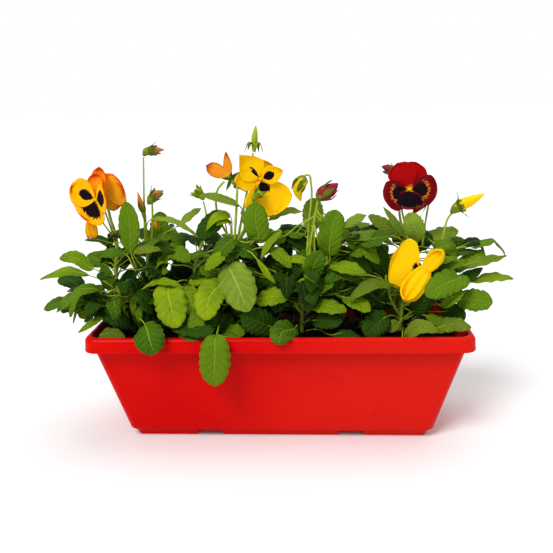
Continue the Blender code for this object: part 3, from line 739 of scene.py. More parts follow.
@dataclass
class Trough:
    """The moulded trough: rolled rim, tapered body, stepped foot and two cross channels."""

    length: float = 450.0
    depth: float = 170.0
    height: float = 135.0
    rim_corner: float = 16.0
    skirt_z: float = 117.5
    skirt_wall: float = 2.4
    overhang: float = 12.4
    end_overhang: float = 8.4
    wall: float = 2.4
    end_slope: float = 0.305
    side_slope: float = 0.137
    foot_z: float = 10.2
    foot_step: float = 4.0
    foot_taper: float = 2.4
    channel_top: float = 6.5
    channel_x: float = 86.0
    channel_half_widths: tuple[float, float] = (18.5, 14.5)
    floor: float = 9.0
    corner_steps: int = 12
    rings: list[tuple[float, float, float, float]] = field(default_factory=list)

    def rim(self, inset: float, z: float) -> None:
        """Adds a ring of the rim, inset evenly from its outer edge."""
        corner = max(self.rim_corner - inset * 0.5, 4.0)
        self.rings.append((self.length / 2 - inset, self.depth / 2 - inset, corner, z))

    def body(self, inset: float, z: float) -> None:
        """Adds a ring of the tapered body, inset from its outer face at that height."""
        drop = self.skirt_z - z
        half_x = self.length / 2 - self.end_overhang - self.end_slope * drop - inset
        half_y = self.depth / 2 - self.overhang - self.side_slope * drop - inset
        self.rings.append((half_x, half_y, max(11.0 - inset, 5.0), z))

    def outline(self) -> None:
        """Lists the rings from the underside, over the rim and down to the inner floor."""
        foot, lip_top = self.foot_step + self.foot_taper, self.height - 2.6
        for i in range(5):
            angle = math.pi / 2 * i / 4
            self.body(foot + 1.4 - 1.4 * math.sin(angle), 1.4 - 1.4 * math.cos(angle))
        self.body(self.foot_step + 0.4, self.foot_z - 0.8)
        self.body(self.foot_step - 0.4, self.foot_z)
        for i in range(5):
            angle = math.pi / 2 * i / 4
            self.body(1.2 - 1.2 * math.sin(angle), self.foot_z + 1.4 - 1.2 * math.cos(angle))
        for z in (30.0, 60.0, 90.0, self.skirt_z, lip_top):
            self.body(0.0, z)
        self.rim(self.skirt_wall + 1.6, lip_top)
        self.rim(self.skirt_wall, lip_top - 2.0)
        self.rim(self.skirt_wall, self.skirt_z + 0.8)
        for i in range(5):
            angle = math.pi * i / 4
            self.rim(1.1 + 1.1 * math.cos(angle), self.skirt_z + 1.1 - 1.1 * math.sin(angle))
        self.rim(-0.0, self.skirt_z + 3.0)
        self.rim(0.5, self.skirt_z + 4.2)
        self.rim(0.6, self.height - 7.0)
        for i in range(1, 7):
            angle = math.pi / 2 * i / 6
            self.rim(0.6 + 5.6 * (1 - math.cos(angle)), self.height - 6.0 + 6.0 * math.sin(angle))
        self.rim(8.2, self.height - 0.6)
        self.body(self.wall, self.height - 2.4)
        for z in (120.0, 60.0, self.floor):
            self.body(self.wall, z)

    def build(self) -> bpy.types.Object:
        """Builds the trough as one shell.

        Returns:
            The piece.
        """
        self.outline()
        shaper = Shaper()
        bm = shaper.bm
        bmesh.ops.create_grid(bm, x_segments=1, y_segments=1, size=1.0)
        bmesh.ops.bevel(
            bm, geom=bm.verts[:], offset=0.4, offset_type="OFFSET", affect="VERTICES",
            segments=self.corner_steps, profile=0.5, material=-1,
        )
        first = self._round(list(bm.faces)[0])
        loops = [first]
        edges = list(list(bm.faces)[0].edges)
        for _ in self.rings[1:]:
            grown = bmesh.ops.extrude_edge_only(bm, edges=edges)["geom"]
            edges = [g for g in grown if isinstance(g, bmesh.types.BMEdge) and g.is_boundary]
            fresh = [g for g in grown if isinstance(g, bmesh.types.BMVert)]
            loops.append(Shaper._in_step(loops[-1], fresh))
        for loop, ring in zip(loops, self.rings):
            self._lay(loop, ring)
        bmesh.ops.contextual_create(bm, geom=loops[-1])
        for face in bm.faces:
            face.smooth = True
        bmesh.ops.recalc_face_normals(bm, faces=bm.faces[:])
        piece = shaper.finish("red_trough", "red_plastic", [RedPlastic().make()], ("planter_trough",))
        self._cut_channels(piece)
        piece.data.set_sharp_from_angle(angle=math.radians(38))
        return piece

    @staticmethod
    def _round(face: bmesh.types.BMFace) -> list:
        """A face's corners in order round it, from the one nearest the +X side."""
        verts = list(face.verts)
        verts.sort(key=lambda v: math.atan2(v.co.y, v.co.x))
        return verts

    def _lay(self, loop: list, ring: tuple[float, float, float, float]) -> None:
        """Moves one loop of corners onto its ring."""
        half_x, half_y, corner, z = ring
        per = len(loop) // 4
        start = per // 2
        for k, vert in enumerate(loop):
            turned = (k + start) % len(loop)
            quarter, step = (turned // per + 2) % 4, turned % per
            angle = math.pi / 2 * (quarter + step / (per - 1))
            sx, sy = ((1, 1), (-1, 1), (-1, -1), (1, -1))[quarter]
            x = sx * (half_x - corner) + corner * math.cos(angle)
            y = sy * (half_y - corner) + corner * math.sin(angle)
            vert.co = Vector((x, y, z)) * MM

    def _cut_channels(self, piece: bpy.types.Object) -> None:
        """Cuts the two slanted channels that run under the trough from front to back."""
        cutter_bm = bmesh.new()
        wide, narrow = self.channel_half_widths
        for x in (-self.channel_x, self.channel_x):
            made = bmesh.ops.create_cube(cutter_bm, size=2.0)["verts"]
            for vert in made:
                half = narrow if vert.co.z > 0 else wide
                vert.co = Vector((x + vert.co.x * half, vert.co.y * self.depth / 2, vert.co.z * self.channel_top)) * MM
        mesh = bpy.data.meshes.new("channel_cutter")
        cutter_bm.to_mesh(mesh)
        cutter_bm.free()
        cutter = bpy.data.objects.new("channel_cutter", mesh)
        bpy.context.scene.collection.objects.link(cutter)
        cut = piece.modifiers.new("channels", "BOOLEAN")
        cut.object, cut.operation, cut.solver = cutter, "DIFFERENCE", "EXACT"
        evaluated = piece.evaluated_get(bpy.context.evaluated_depsgraph_get())
        carved = bpy.data.meshes.new_from_object(evaluated)
        piece.modifiers.clear()
        piece.data = carved
        carved.name = piece.name
        bpy.data.objects.remove(cutter, do_unlink=True)


@dataclass
class Soil:
    """The bed of potting mix and the loose crumbs of bark that lie on it."""

    crumbs: int = 900
    seed: int = 11

    def build(self) -> None:
        """Builds the bed and its crumbs."""
        low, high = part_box("potting_soil")
        low, high = low / MM, high / MM
        top, corner = high.z - 1.0, 11.0
        bed = Shaper()

        def place(s: float, t: float) -> Vector:
            x = s * (high.x - 1.6)
            y = (2 * t - 1) * (high.y - 1.0)
            lump = math.sin(x * 0.19 + y * 0.23) * math.cos(y * 0.31 - x * 0.08)
            fine = math.sin(x * 0.9) * math.sin(y * 1.1 + x * 0.3)
            edge = max(abs(s) - 0.93, 0.0) * 30 + max(abs(2 * t - 1) - 0.85, 0.0) * 14
            near_end = max(abs(x) - (high.x - 1.6 - corner), 0.0)
            y *= 1 - (corner - math.sqrt(corner**2 - near_end**2)) / high.y
            return Vector((x, y, top - 1.2 + 1.1 * lump + 0.4 * fine - edge)) * MM

        bed.sheet(place, 150, 50, 3.0, (0, 0))
        mix = PottingMix("potting_mix", (0.003, 0.002, 0.001), (0.014, 0.008, 0.004)).make()
        bed.finish("soil_bed", "potting_soil", [mix], ("potting_soil",))
        self._scatter(high, top)

    def _scatter(self, high: Vector, top: float) -> None:
        """Strews small lumps over the bed."""
        rng = random.Random(self.seed)
        crumbs = Shaper()
        for _ in range(self.crumbs):
            made = bmesh.ops.create_icosphere(crumbs.bm, subdivisions=1, radius=1.0)["verts"]
            size = rng.uniform(0.7, 2.6)
            turn = Matrix.Rotation(rng.uniform(0, math.tau), 3, Vector((rng.random(), rng.random(), rng.random() + 0.1)))
            stretch = Vector((size * rng.uniform(0.8, 2.2), size * rng.uniform(0.6, 1.2), size * rng.uniform(0.4, 0.8)))
            where = Vector((rng.uniform(-1, 1) * (high.x - 9), rng.uniform(-1, 1) * (high.y - 8), top - 0.6))
            for vert in made:
                rough = vert.co * rng.uniform(0.75, 1.15)
                vert.co = (turn @ Vector(a * b for a, b in zip(rough, stretch)) + where) * MM
            light = rng.random() < 0.3
            for face in {f for v in made for f in v.link_faces}:
                face.material_index = 1 if light else 0
        dark = PottingMix("dark_crumb", (0.004, 0.0025, 0.0015), (0.018, 0.01, 0.005)).make()
        bark = PottingMix("bark_chip", (0.02, 0.01, 0.005), (0.07, 0.036, 0.016)).make()
        crumbs.finish("soil_crumbs", "potting_soil", [dark, bark])


# -------------------------------------------------------------------- leaves


class Kind(Enum):
    """The outlines of a blade: shift to its base, bluntness, point, teeth a side, tooth depth, lobes."""

    ROUND = (0.86, 2.3, 0.5, 6, 0.11, 0.17)
    OVAL = (0.92, 2.1, 0.6, 6, 0.09, 0.06)
    LANCE = (0.95, 2.0, 0.85, 5, 0.07, 0.0)
    SEPAL = (0.7, 2.0, 0.9, 1, 0.0, 0.0)


@dataclass(frozen=True)
class Blade:
    """A thin pointed blade along a stretch of a path."""

    path: Path
    start: float
    end: float
    width: float
    face: Vector
    kind: Kind
    fold: float = 0.22
    _rows: dict[float, tuple[Vector, ...]] = field(default_factory=dict)

    def _row(self, t: float) -> tuple[Vector, ...]:
        """The midrib's point, run, side and upward direction at t, worked out once."""
        key = round(t, 4)
        if key not in self._rows:
            place = self.start + (self.end - self.start) * t
            self._rows[key] = (self.path.at(place), self.path.direction(place), *self.path.axes(place, self.face))
        return self._rows[key]

    def place(self, s: float, t: float) -> Vector:
        """Where a point of the blade lies.

        Args:
            s: How far across the blade it is, from -1 to 1.
            t: How far along the blade it is, from 0 to 1.

        Returns:
            The point in metres.
        """
        power, blunt, point, teeth, depth, lobe = self.kind.value
        middle, along, side, up = self._row(t)
        share = max(1.0 - abs(2 * t**power - 1) ** blunt, 0.0) ** point
        tooth = depth * (1.0 - abs(math.sin(math.pi * (teeth * t + 0.3)))) ** 1.5 * min(t * 6, 1.0)
        half = max(self.width / 2 * share * (1 - tooth * s * s), 0.4)
        span = (self.path.at(self.end) - self.path.at(self.start)).length / MM
        back = lobe * span * abs(s) ** 1.6 * (1 - t) ** 4
        phase = middle.x * 310 + self.width
        wave = 0.05 * self.width * s * s * math.sin(7.0 * t + phase + (1.3 if s > 0 else 0.0))
        height = self.fold * abs(s) * half * (1 - 0.4 * t) + wave - 0.1 * self.width * s**4 * share
        return middle + (side * s * half + up * height - along * back) * MM


@dataclass(frozen=True)
class Leaf:
    """One leaf: its stalk's root and bend, its blade's base, middle and tip, width and facing."""

    name: str
    points: tuple[Point, ...]
    width: float
    face: Point
    kind: Kind
    tone: Tone
    fold: float = 0.22
    tint: float = 0.5
    stalk: float = 1.05

    def shape(self, shaper: Shaper, fine: bool = True, slots: tuple[int, int, int] = (0, 1, 2)) -> None:
        """Adds the blade, its stalk and its midrib to a mesh.

        Args:
            shaper: The mesh that it joins.
            fine: Whether it gets its full number of faces.
            slots: The material slots of its top, underside and stalk.
        """
        path = Path(self.points)
        shaper.tint = self.tint
        blade = Blade(path, 2.0, 4.0, self.width, Vector(self.face), self.kind, self.fold)
        across, along = (10, 44 if self.width > 15 else 28) if fine else (6, 18)
        shaper.sheet(blade.place, across, along, 0.35, slots[:2])
        shaper.tube(
            path, (0.0, 3.6), lambda u: self.stalk * (1 - 0.75 * u), 6 if fine else 5, 18 if fine else 10, slots[2],
            sink=lambda u: 0.55 * min(max(u * 3.6 - 1.8, 0.0) * 2, 1.0),
        )

    def build(self, finishes: Finishes, node: str = "") -> bpy.types.Object:
        """Builds the leaf as a piece.

        Args:
            finishes: The shared finishes.
            node: The CAD leaf that it stands for, if it has one.

        Returns:
            The piece.
        """
        shaper = Shaper()
        self.shape(shaper)
        return shaper.finish(self.name, "leaf_green", finishes.leaf(self.tone), (node,) if node else ())


def leaf(name: str, root: Point, base: Point, middle: Point, tip: Point, width: float, face: Point,
         kind: Kind, tone: Tone, **more: float) -> Leaf:
    """A leaf whose stalk bends by itself between its root and its blade.

    Args:
        name: The leaf's name.
        root: Where its stalk leaves the stem.
        base: Where its blade starts.
        middle: The middle of its blade.
        tip: The blade's tip.
        width: The blade's width in millimetres.
        face: The way that the blade looks.
        kind: Its outline.
        tone: Its colours.
        **more: The leaf's fold, sun share and stalk.

    Returns:
        The leaf.
    """
    a, b, run = Vector(root), Vector(base), Vector(middle) - Vector(base)
    bend = a.lerp(b, 0.55) - run * 0.12 + Vector((0, 0, 0.1)) * (b - a).length
    return Leaf(name, (root, tuple(bend), base, middle, tip), width, face, kind, tone, **more)


R, O, L = Kind.ROUND, Kind.OVAL, Kind.LANCE
# DA is the near-black painted-shade tone, for leaves that stand in shaded gaps of the foliage.
BR, MI, DA, PA, OL = Tone.BRIGHT, Tone.MID, Tone.DARK, Tone.PALE, Tone.OLIVE

MAIN_LEAVES = (
    Leaf("leaf_a1_far_left", ((-201, -18, 178), (-213, -20, 188), (-230, -20, 195), (-258, -22, 201), (-289, -25, 191)),
         20, (0.1, -0.35, 1), L, BR, tint=0.4),
    Leaf("leaf_a2_drooping", ((-209, -32, 164), (-210, -38, 174), (-213, -42, 182), (-232, -52, 185), (-243, -62, 155)),
         23, (-0.5, -0.5, 0.8), O, MI, tint=0.7),
    Leaf("leaf_a3_outside", ((-188, -20, 132), (-197, -40, 146), (-205, -51, 152), (-217, -60, 148), (-233, -68, 138)),
         13, (-0.3, -0.5, 0.8), L, BR, tint=0.3),
    Leaf("leaf_a4_upright", ((-164, -20, 190), (-170, -25, 206), (-175, -25, 226), (-174, -26, 255), (-178, -19, 284)),
         26, (0, -1, 0.2), O, MI, tint=0.8, fold=0.3),
    Leaf("leaf_a5_side", ((-166, -26, 192), (-172, -33, 210), (-177, -34, 222), (-194, -36, 226), (-214, -34, 222)),
         14, (-0.1, -0.7, 0.7), L, MI, tint=0.5),
    Leaf("leaf_a6_long_pale", ((-159, -4, 240), (-158, -8, 252), (-154, -12, 259), (-128, -18, 262), (-92, -24, 240)),
         13, (0, -0.3, 1), L, PA, tint=0.5),
    Leaf("leaf_a7_over_rim", ((-178, -22, 136), (-163, -52, 150), (-149, -78, 148), (-142, -93, 138), (-137, -97, 122)),
         36, (0, -0.9, 0.5), R, MI, tint=0.3),
    Leaf("leaf_b1_scalloped", ((-106, -19, 186), (-114, -34, 191), (-126, -48, 187), (-121, -70, 173), (-113, -80, 147)),
         38, (0, -0.9, 0.45), R, BR, tint=0.5),
    Leaf("leaf_b2_bright", ((-60, -20, 172), (-60, -34, 186), (-67, -46, 188), (-77, -64, 178), (-80, -77, 155)),
         34, (0, -0.85, 0.5), R, BR, tint=0.55),
    Leaf("leaf_b3_rim", ((-86, -16, 128), (-104, -44, 143), (-114, -66, 146), (-94, -77, 146), (-71, -84, 143)),
         26, (0, -0.5, 0.85), R, DA, tint=0.9),
    Leaf("leaf_b4_upright", ((-46, -6, 232), (-34, -14, 232), (-23, -20, 239), (-25, -25, 260), (-24, -21, 281)),
         31, (0, -1, 0.15), R, MI, tint=0.95, fold=0.1),
    Leaf("leaf_b5_level", ((-44, -1, 265), (-42, -6, 271), (-46, -10, 277), (-64, -16, 285), (-85, -21, 291)),
         18, (0, -0.5, 0.9), O, PA, tint=0.3),
    Leaf("leaf_b6_hanging", ((-57, -13, 199), (-58, -22, 208), (-57, -32, 208), (-45, -56, 191), (-32, -71, 163)),
         43, (-0.1, -0.8, 0.6), O, PA, tint=0.45),
    Leaf("leaf_b7_side", ((-45, -33, 166), (-37, -37, 170), (-25, -42, 170), (-6, -52, 176), (14, -60, 177)),
         25, (0, -0.7, 0.7), O, BR, tint=0.35),
    Leaf("leaf_b8_front", ((-77, -16, 129), (-67, -74, 143), (-68, -93, 136), (-69, -98, 112), (-72, -97, 84)),
         36, (0, -1, 0.2), R, MI, tint=0.9, fold=0.1),
    Leaf("leaf_b9_cup", ((-56, -13, 212), (-53, -16, 226), (-52, -18, 237), (-62, -28, 230), (-74, -34, 216)),
         27, (-0.3, -0.6, 0.75), O, MI, tint=0.4, fold=0.4),
    Leaf("leaf_c1_upright", ((60, -20, 207), (62, -22, 214), (61, -24, 224), (64, -28, 248), (70, -22, 271)),
         31, (0, -1, 0.15), R, MI, tint=0.7, fold=0.3),
    Leaf("leaf_c2_oval", ((33, -21, 180), (33, -28, 185), (36, -33, 192), (43, -40, 210), (52, -38, 226)),
         25, (0, -0.9, 0.4), O, MI, tint=0.45, fold=0.4),
    Leaf("leaf_c3_lance", ((51, -24, 188), (54, -30, 198), (61, -35, 205), (81, -48, 209), (102, -56, 203)),
         20, (0, -0.6, 0.8), L, BR, tint=0.4),
    Leaf("leaf_c4_level", ((28, -21, 150), (31, -31, 157), (39, -38, 160), (57, -54, 165), (80, -62, 161)),
         22, (0, -0.6, 0.8), O, BR, tint=0.4),
    Leaf("leaf_c5_outer", ((47, -24, 174), (62, -34, 175), (78, -44, 172), (92, -56, 170), (107, -64, 161)),
         22, (0.1, -0.6, 0.8), O, BR, tint=0.35),
    Leaf("leaf_d1_arched", ((149, -18, 158), (147, -24, 168), (138, -31, 179), (112, -50, 190), (81, -64, 174)),
         20, (-0.2, -0.6, 0.8), L, OL, tint=0.6),
    Leaf("leaf_d2_long", ((191, -8, 190), (197, -12, 192), (207, -15, 197), (236, -20, 208), (266, -22, 214)),
         19, (0, -0.4, 0.9), L, OL, tint=0.8),
    Leaf("leaf_d3_far_right", ((178, -16, 162), (206, -18, 170), (228, -19, 182), (252, -20, 189), (277, -18, 186)),
         18, (0.1, -0.4, 0.9), L, BR, tint=0.45),
    Leaf("leaf_d4_round", ((168, -18, 154), (192, -26, 158), (214, -32, 165), (230, -38, 166), (248, -42, 165)),
         29, (0.1, -0.8, 0.6), R, MI, tint=0.9),
    Leaf("leaf_d5_front", ((188, -10, 186), (204, -24, 193), (211, -38, 193), (191, -52, 190), (169, -60, 177)),
         31, (-0.1, -0.8, 0.6), R, MI, tint=0.75),
    Leaf("leaf_d6_round_top", ((158, -7, 214), (164, -12, 227), (164, -18, 238), (159, -23, 251), (152, -21, 266)),
         25, (0, -1, 0.15), R, PA, tint=0.4, fold=0.1),
    Leaf("leaf_d7_back", ((186, 1, 200), (179, 10, 212), (177, 18, 222), (197, 22, 231), (218, 20, 237)),
         24, (0, -0.7, 0.7), O, PA, tint=0.45),
)

MORE_LEAVES = (
    leaf("rim_round_leaf", (24, -22, 124), (19, -70, 142), (6, -85, 142), (4, -92, 131), 27, (0, -0.9, 0.5), R, MI, tint=0.35),
    leaf("rim_broad_leaf", (-82, -20, 124), (-88, -44, 154), (-94, -62, 145), (-97, -85, 134), 46, (0, -0.9, 0.5), R, MI, tint=0.25),
    leaf("new_shoot_leaf", (-57, -6, 222), (-56, -8, 262), (-68, -12, 264), (-85, -14, 247), 15, (-0.3, -0.7, 0.6), L, BR, tint=0.9,
         fold=0.6),
    leaf("new_shoot_small_leaf", (-57, -6, 222), (-57, -8, 254), (-62, -14, 258), (-72, -18, 254), 10, (-0.3, -0.7, 0.6), O, BR,
         tint=0.6, fold=0.5),
    leaf("left_screen_leaf", (-165, 10, 155), (-169, 22, 171), (-157, 26, 200), (-150, 26, 223), 30, (0.1, -0.9, 0.4), R, DA, tint=0.6),
    leaf("left_low_screen_leaf", (-153, 8, 139), (-139, 24, 158), (-126, 30, 185), (-109, 30, 209), 36, (-0.1, -0.9, 0.4), O, DA, tint=0.3),
    leaf("left_high_screen_leaf", (-110, 10, 160), (-116, 24, 178), (-124, 28, 200), (-132, 28, 218), 26, (0.1, -0.9, 0.4), O, DA, tint=0.9),
    leaf("middle_screen_leaf", (-86, 8, 155), (-85, 20, 170), (-75, 26, 192), (-63, 26, 215), 32, (0, -0.9, 0.4), R, DA, tint=0.5),
    leaf("centre_screen_leaf", (-23, 8, 154), (-17, 22, 166), (-28, 28, 191), (-39, 28, 214), 30, (0.1, -0.9, 0.4), O, DA, tint=0.8),
    leaf("centre_low_screen_leaf", (-1, 8, 139), (4, 20, 155), (13, 26, 179), (20, 26, 202), 34, (0, -0.9, 0.4), R, DA, tint=0.4),
    leaf("right_screen_leaf", (50, 8, 164), (57, 20, 181), (67, 26, 203), (76, 26, 222), 28, (-0.1, -0.9, 0.4), O, DA, tint=0.7),
    leaf("node_leaf", (-200, -8, 160), (-205, -14, 175), (-209, -16, 189), (-213, -16, 207), 19, (-0.1, -0.9, 0.3), O, MI, tint=0.4),
    leaf("round_scarred_leaf", (-206, -15, 186), (-234, -5, 202), (-252, -2, 214), (-272, -1, 212), 17, (0, -0.9, 0.5), R, BR, tint=0.3),
    leaf("low_left_round_leaf", (-189, -20, 140), (-217, -30, 168), (-228, -36, 160), (-240, -40, 148), 26, (-0.1, -1, 0.3), R, MI, tint=0.7),
    leaf("low_left_dark_leaf", (-184, -16, 128), (-208, -44, 158), (-192, -52, 152), (-175, -56, 140), 22, (0.1, -0.8, 0.6), O, DA, tint=0.5),
    leaf("corner_leaf", (-184, -16, 124), (-208, -66, 134), (-194, -70, 138), (-176, -74, 134), 17, (0, -0.6, 0.8), O, OL, tint=0.2),
    leaf("left_pointed_leaf", (-196, -6, 222), (-205, 3, 224), (-216, 4, 233), (-231, 3, 240), 10, (-0.3, -0.8, 0.5), L, MI),
    leaf("left_behind_leaf", (-163, 2, 212), (-152, 12, 230), (-148, 16, 248), (-145, 16, 266), 24, (0.1, -1, 0.2), R, BR, tint=0.35),
    leaf("left_behind_pale_leaf", (-158, 4, 222), (-124, 4, 249), (-107, 3, 263), (-92, 2, 272), 15, (-0.2, -0.6, 0.8), L, PA, tint=0.4),
    leaf("left_crossing_leaf", (-162, -16, 200), (-172, -25, 222), (-155, -30, 229), (-136, -33, 228), 14, (0, -0.6, 0.8), L, OL, tint=0.6),
    leaf("long_arm_leaf", (-183, -18, 133), (-160, -36, 182), (-138, -46, 194), (-108, -52, 188), 14, (0.1, -0.5, 1), L, BR, tint=0.4, stalk=1.5),
    leaf("mid_left_fringe_leaf", (-150, -5, 205), (-134, -12, 218), (-120, -20, 222), (-104, -26, 212), 22, (0, -0.7, 0.7), R, MI, tint=0.8),
    leaf("mid_left_small_leaf", (-158, -14, 176), (-152, -30, 196), (-140, -36, 204), (-128, -40, 203), 14, (0, -0.7, 0.7), O, MI, tint=0.6),
    leaf("rim_small_leaf", (-86, -16, 132), (-90, -64, 162), (-92, -74, 150), (-92, -80, 136), 21, (0, -1, 0.3), O, MI, tint=0.95),
    leaf("scalloped_pair_leaf", (-96, -16, 176), (-108, -46, 184), (-100, -58, 174), (-97, -64, 156), 26, (0.1, -0.9, 0.4), R, BR, tint=0.35),
    leaf("dark_wedge_leaf", (-62, -8, 226), (-66, -4, 262), (-82, -8, 252), (-97, -12, 236), 27, (-0.3, -0.9, 0.4), O, DA, tint=0.95),
    leaf("small_lip_leaf", (-62, -14, 200), (-84, -30, 196), (-92, -36, 192), (-104, -42, 190), 15, (0, -0.7, 0.7), R, BR, tint=0.5),
    leaf("small_round_leaf", (-62, -16, 206), (-72, -30, 200), (-82, -36, 202), (-90, -40, 208), 13, (0, -0.8, 0.6), R, MI, tint=0.9),
    leaf("cup_lip_leaf", (-58, -14, 208), (-62, -34, 222), (-72, -40, 216), (-84, -44, 206), 18, (-0.1, -0.6, 0.8), O, BR, tint=0.5, fold=0.4),
    leaf("fold_leaf", (-40, -10, 222), (4, -14, 246), (-9, -24, 233), (-20, -30, 214), 15, (-0.7, -0.6, 0.3), L, BR, tint=0.55, fold=0.5),
    leaf("fold_edge_leaf", (-40, -16, 222), (-24, -32, 216), (-14, -38, 202), (-2, -42, 188), 9, (0.6, -0.7, 0.3), L, BR, tint=0.8, fold=0.6),
    leaf("right_fold_leaf", (-40, -12, 215), (-10, -22, 226), (5, -30, 219), (17, -34, 205), 18, (0.3, -0.7, 0.6), O, BR, tint=0.35),
    leaf("pale_behind_leaf", (-40, 4, 230), (-12, 10, 254), (6, 12, 265), (30, 10, 264), 16, (0, -0.5, 0.9), L, PA, tint=0.4),
    leaf("big_dark_leaf", (24, -20, 124), (-8, -54, 140), (-23, -62, 149), (-41, -68, 157), 34, (0.1, -0.9, 0.5), R, DA, tint=0.75),
    leaf("low_bright_leaf", (-72, -18, 126), (-60, -54, 136), (-50, -62, 138), (-38, -66, 134), 19, (0, -0.7, 0.7), R, MI, tint=0.8),
    leaf("low_rim_leaf", (-70, -14, 123), (-68, -66, 132), (-54, -74, 134), (-40, -76, 131), 15, (0, -0.4, 0.9), O, MI, tint=0.6),
    leaf("rim_dark_leaf", (22, -24, 123), (-6, -72, 131), (6, -78, 133), (19, -82, 129), 15, (0, -0.7, 0.8), O, DA, tint=0.9),
    leaf("inner_dark_leaf", (-70, -6, 150), (-22, 4, 178), (-4, 8, 200), (14, 12, 224), 30, (-0.1, -1, 0.3), O, DA, tint=0.3),
    leaf("inner_dark_top_leaf", (30, -6, 190), (52, 5, 208), (28, 10, 228), (3, 13, 245), 27, (0.1, -0.8, 0.5), O, DA, tint=0.6),
    leaf("middle_pale_behind_leaf", (36, 2, 215), (40, 14, 246), (42, 17, 264), (42, 16, 280), 26, (0, -1, 0.2), R, PA, tint=0.7),
    leaf("right_of_middle_pale_leaf", (58, -2, 222), (80, 8, 244), (92, 7, 254), (106, 4, 260), 17, (0, -0.6, 0.8), L, PA, tint=0.5),
    leaf("small_shoulder_leaf", (30, -15, 200), (14, -26, 213), (25, -30, 215), (38, -33, 208), 12, (0, -0.7, 0.7), O, BR, tint=0.5),
    leaf("inner_small_leaf", (50, -22, 168), (76, -22, 180), (70, -30, 195), (62, -33, 208), 20, (0.3, -0.9, 0.3), O, BR, tint=0.2),
    leaf("edge_lit_leaf", (58, -12, 205), (84, -6, 203), (92, -10, 218), (96, -12, 236), 24, (-0.2, -1, 0.3), O, MI, tint=0.4, fold=0.35),
    leaf("young_pointed_leaf", (28, -19, 160), (17, -36, 179), (29, -46, 190), (45, -54, 197), 17, (-0.1, -0.6, 0.8), L, BR, tint=0.7),
    leaf("under_young_leaf", (32, -19, 165), (46, -40, 178), (56, -46, 186), (66, -50, 190), 15, (0, -0.6, 0.8), O, MI, tint=0.6),
    leaf("low_middle_dark_leaf", (30, -18, 130), (42, -44, 144), (57, -54, 147), (75, -60, 147), 22, (0, -0.8, 0.6), O, DA, tint=0.95),
    leaf("lying_leaf", (32, -20, 123), (62, -56, 130), (77, -64, 135), (95, -68, 132), 15, (0, -0.4, 0.9), L, DA, tint=0.9),
    leaf("narrow_pale_leaf", (152, -8, 212), (152, -10, 231), (139, -13, 253), (124, -11, 272), 13, (0.7, -0.7, 0.2), L, PA, tint=0.3),
    leaf("right_behind_pale_leaf", (152, -3, 215), (142, 8, 236), (127, 9, 248), (108, 7, 258), 24, (0, -0.6, 0.8), R, OL, tint=0.7),
    leaf("long_olive_leaf", (150, -8, 206), (138, -10, 226), (112, -20, 240), (82, -28, 236), 18, (0, -0.6, 0.8), L, OL, tint=0.55),
    leaf("low_right_dark_leaf", (147, -14, 130), (125, -46, 148), (113, -56, 142), (101, -62, 131), 30, (-0.1, -0.9, 0.4), R, DA, tint=0.85),
    leaf("behind_arch_dark_leaf", (140, -14, 150), (124, -26, 160), (110, -34, 172), (96, -36, 182), 30, (-0.2, -0.9, 0.4), R, DA, tint=0.35),
    leaf("steep_dark_leaf", (140, -16, 168), (132, -16, 186), (122, -20, 208), (114, -18, 230), 24, (-0.3, -1, 0.2), L, DA, tint=0.6),
    leaf("steep_dark_inner_leaf", (134, -16, 165), (112, -20, 186), (98, -22, 202), (86, -20, 222), 26, (-0.1, -1, 0.3), L, DA, tint=0.7),
    leaf("under_golden_leaf", (150, -14, 150), (158, -32, 150), (168, -38, 162), (176, -38, 178), 24, (0.1, -1, 0.2), O, DA, tint=0.6),
    leaf("under_golden_small_leaf", (150, -18, 136), (142, -40, 140), (136, -46, 138), (128, -52, 132), 15, (0, -0.9, 0.4), O, OL, tint=0.7),
    leaf("corner_folded_leaf", (150, -18, 126), (145, -68, 128), (160, -76, 146), (182, -80, 141), 18, (-0.1, -0.7, 0.6), L, OL, tint=0.75, fold=0.5),
    leaf("right_fold_small_leaf", (180, -14, 160), (190, -42, 160), (201, -50, 172), (213, -52, 180), 17, (-0.6, -0.7, 0.5), L, BR, tint=0.3, fold=0.5),
    leaf("right_narrow_bright_leaf", (178, -12, 180), (170, -24, 199), (188, -31, 211), (208, -34, 216), 13, (-0.2, -0.6, 0.9), L, BR, tint=0.4),
    leaf("right_narrow_under_leaf", (184, -8, 182), (186, -22, 196), (202, -28, 206), (220, -30, 210), 15, (0, -0.6, 0.8), O, MI, tint=0.7),
    leaf("right_back_dark_leaf", (192, -2, 200), (196, 4, 210), (218, 4, 214), (242, 2, 214), 13, (0, -0.5, 0.9), L, MI, tint=0.2),
    leaf("right_back_bright_leaf", (192, -2, 196), (214, 2, 196), (232, 0, 208), (246, -2, 214), 20, (0, -0.7, 0.7), O, BR, tint=0.3),
    leaf("right_under_long_leaf", (188, -6, 182), (206, -12, 182), (222, -18, 188), (240, -20, 200), 16, (0, -0.7, 0.6), L, DA, tint=0.9),
    leaf("low_right_oval_leaf", (152, -16, 135), (174, -42, 148), (184, -52, 146), (197, -58, 138), 15, (0.2, -0.7, 0.7), O, MI, tint=0.85),
    leaf("low_right_pale_leaf", (154, -14, 128), (181, -58, 138), (198, -66, 146), (218, -72, 143), 21, (0, -0.6, 0.8), O, OL, tint=0.6),
    leaf("low_right_far_dark_leaf", (160, -12, 134), (196, -32, 150), (207, -36, 152), (217, -40, 142), 20, (0.1, -0.9, 0.5), R, DA, tint=0.7),
)


@dataclass(frozen=True)
class Stem:
    """One shoot or flower stalk, thicker at its foot."""

    points: tuple[Point, ...]
    foot: float
    top: float


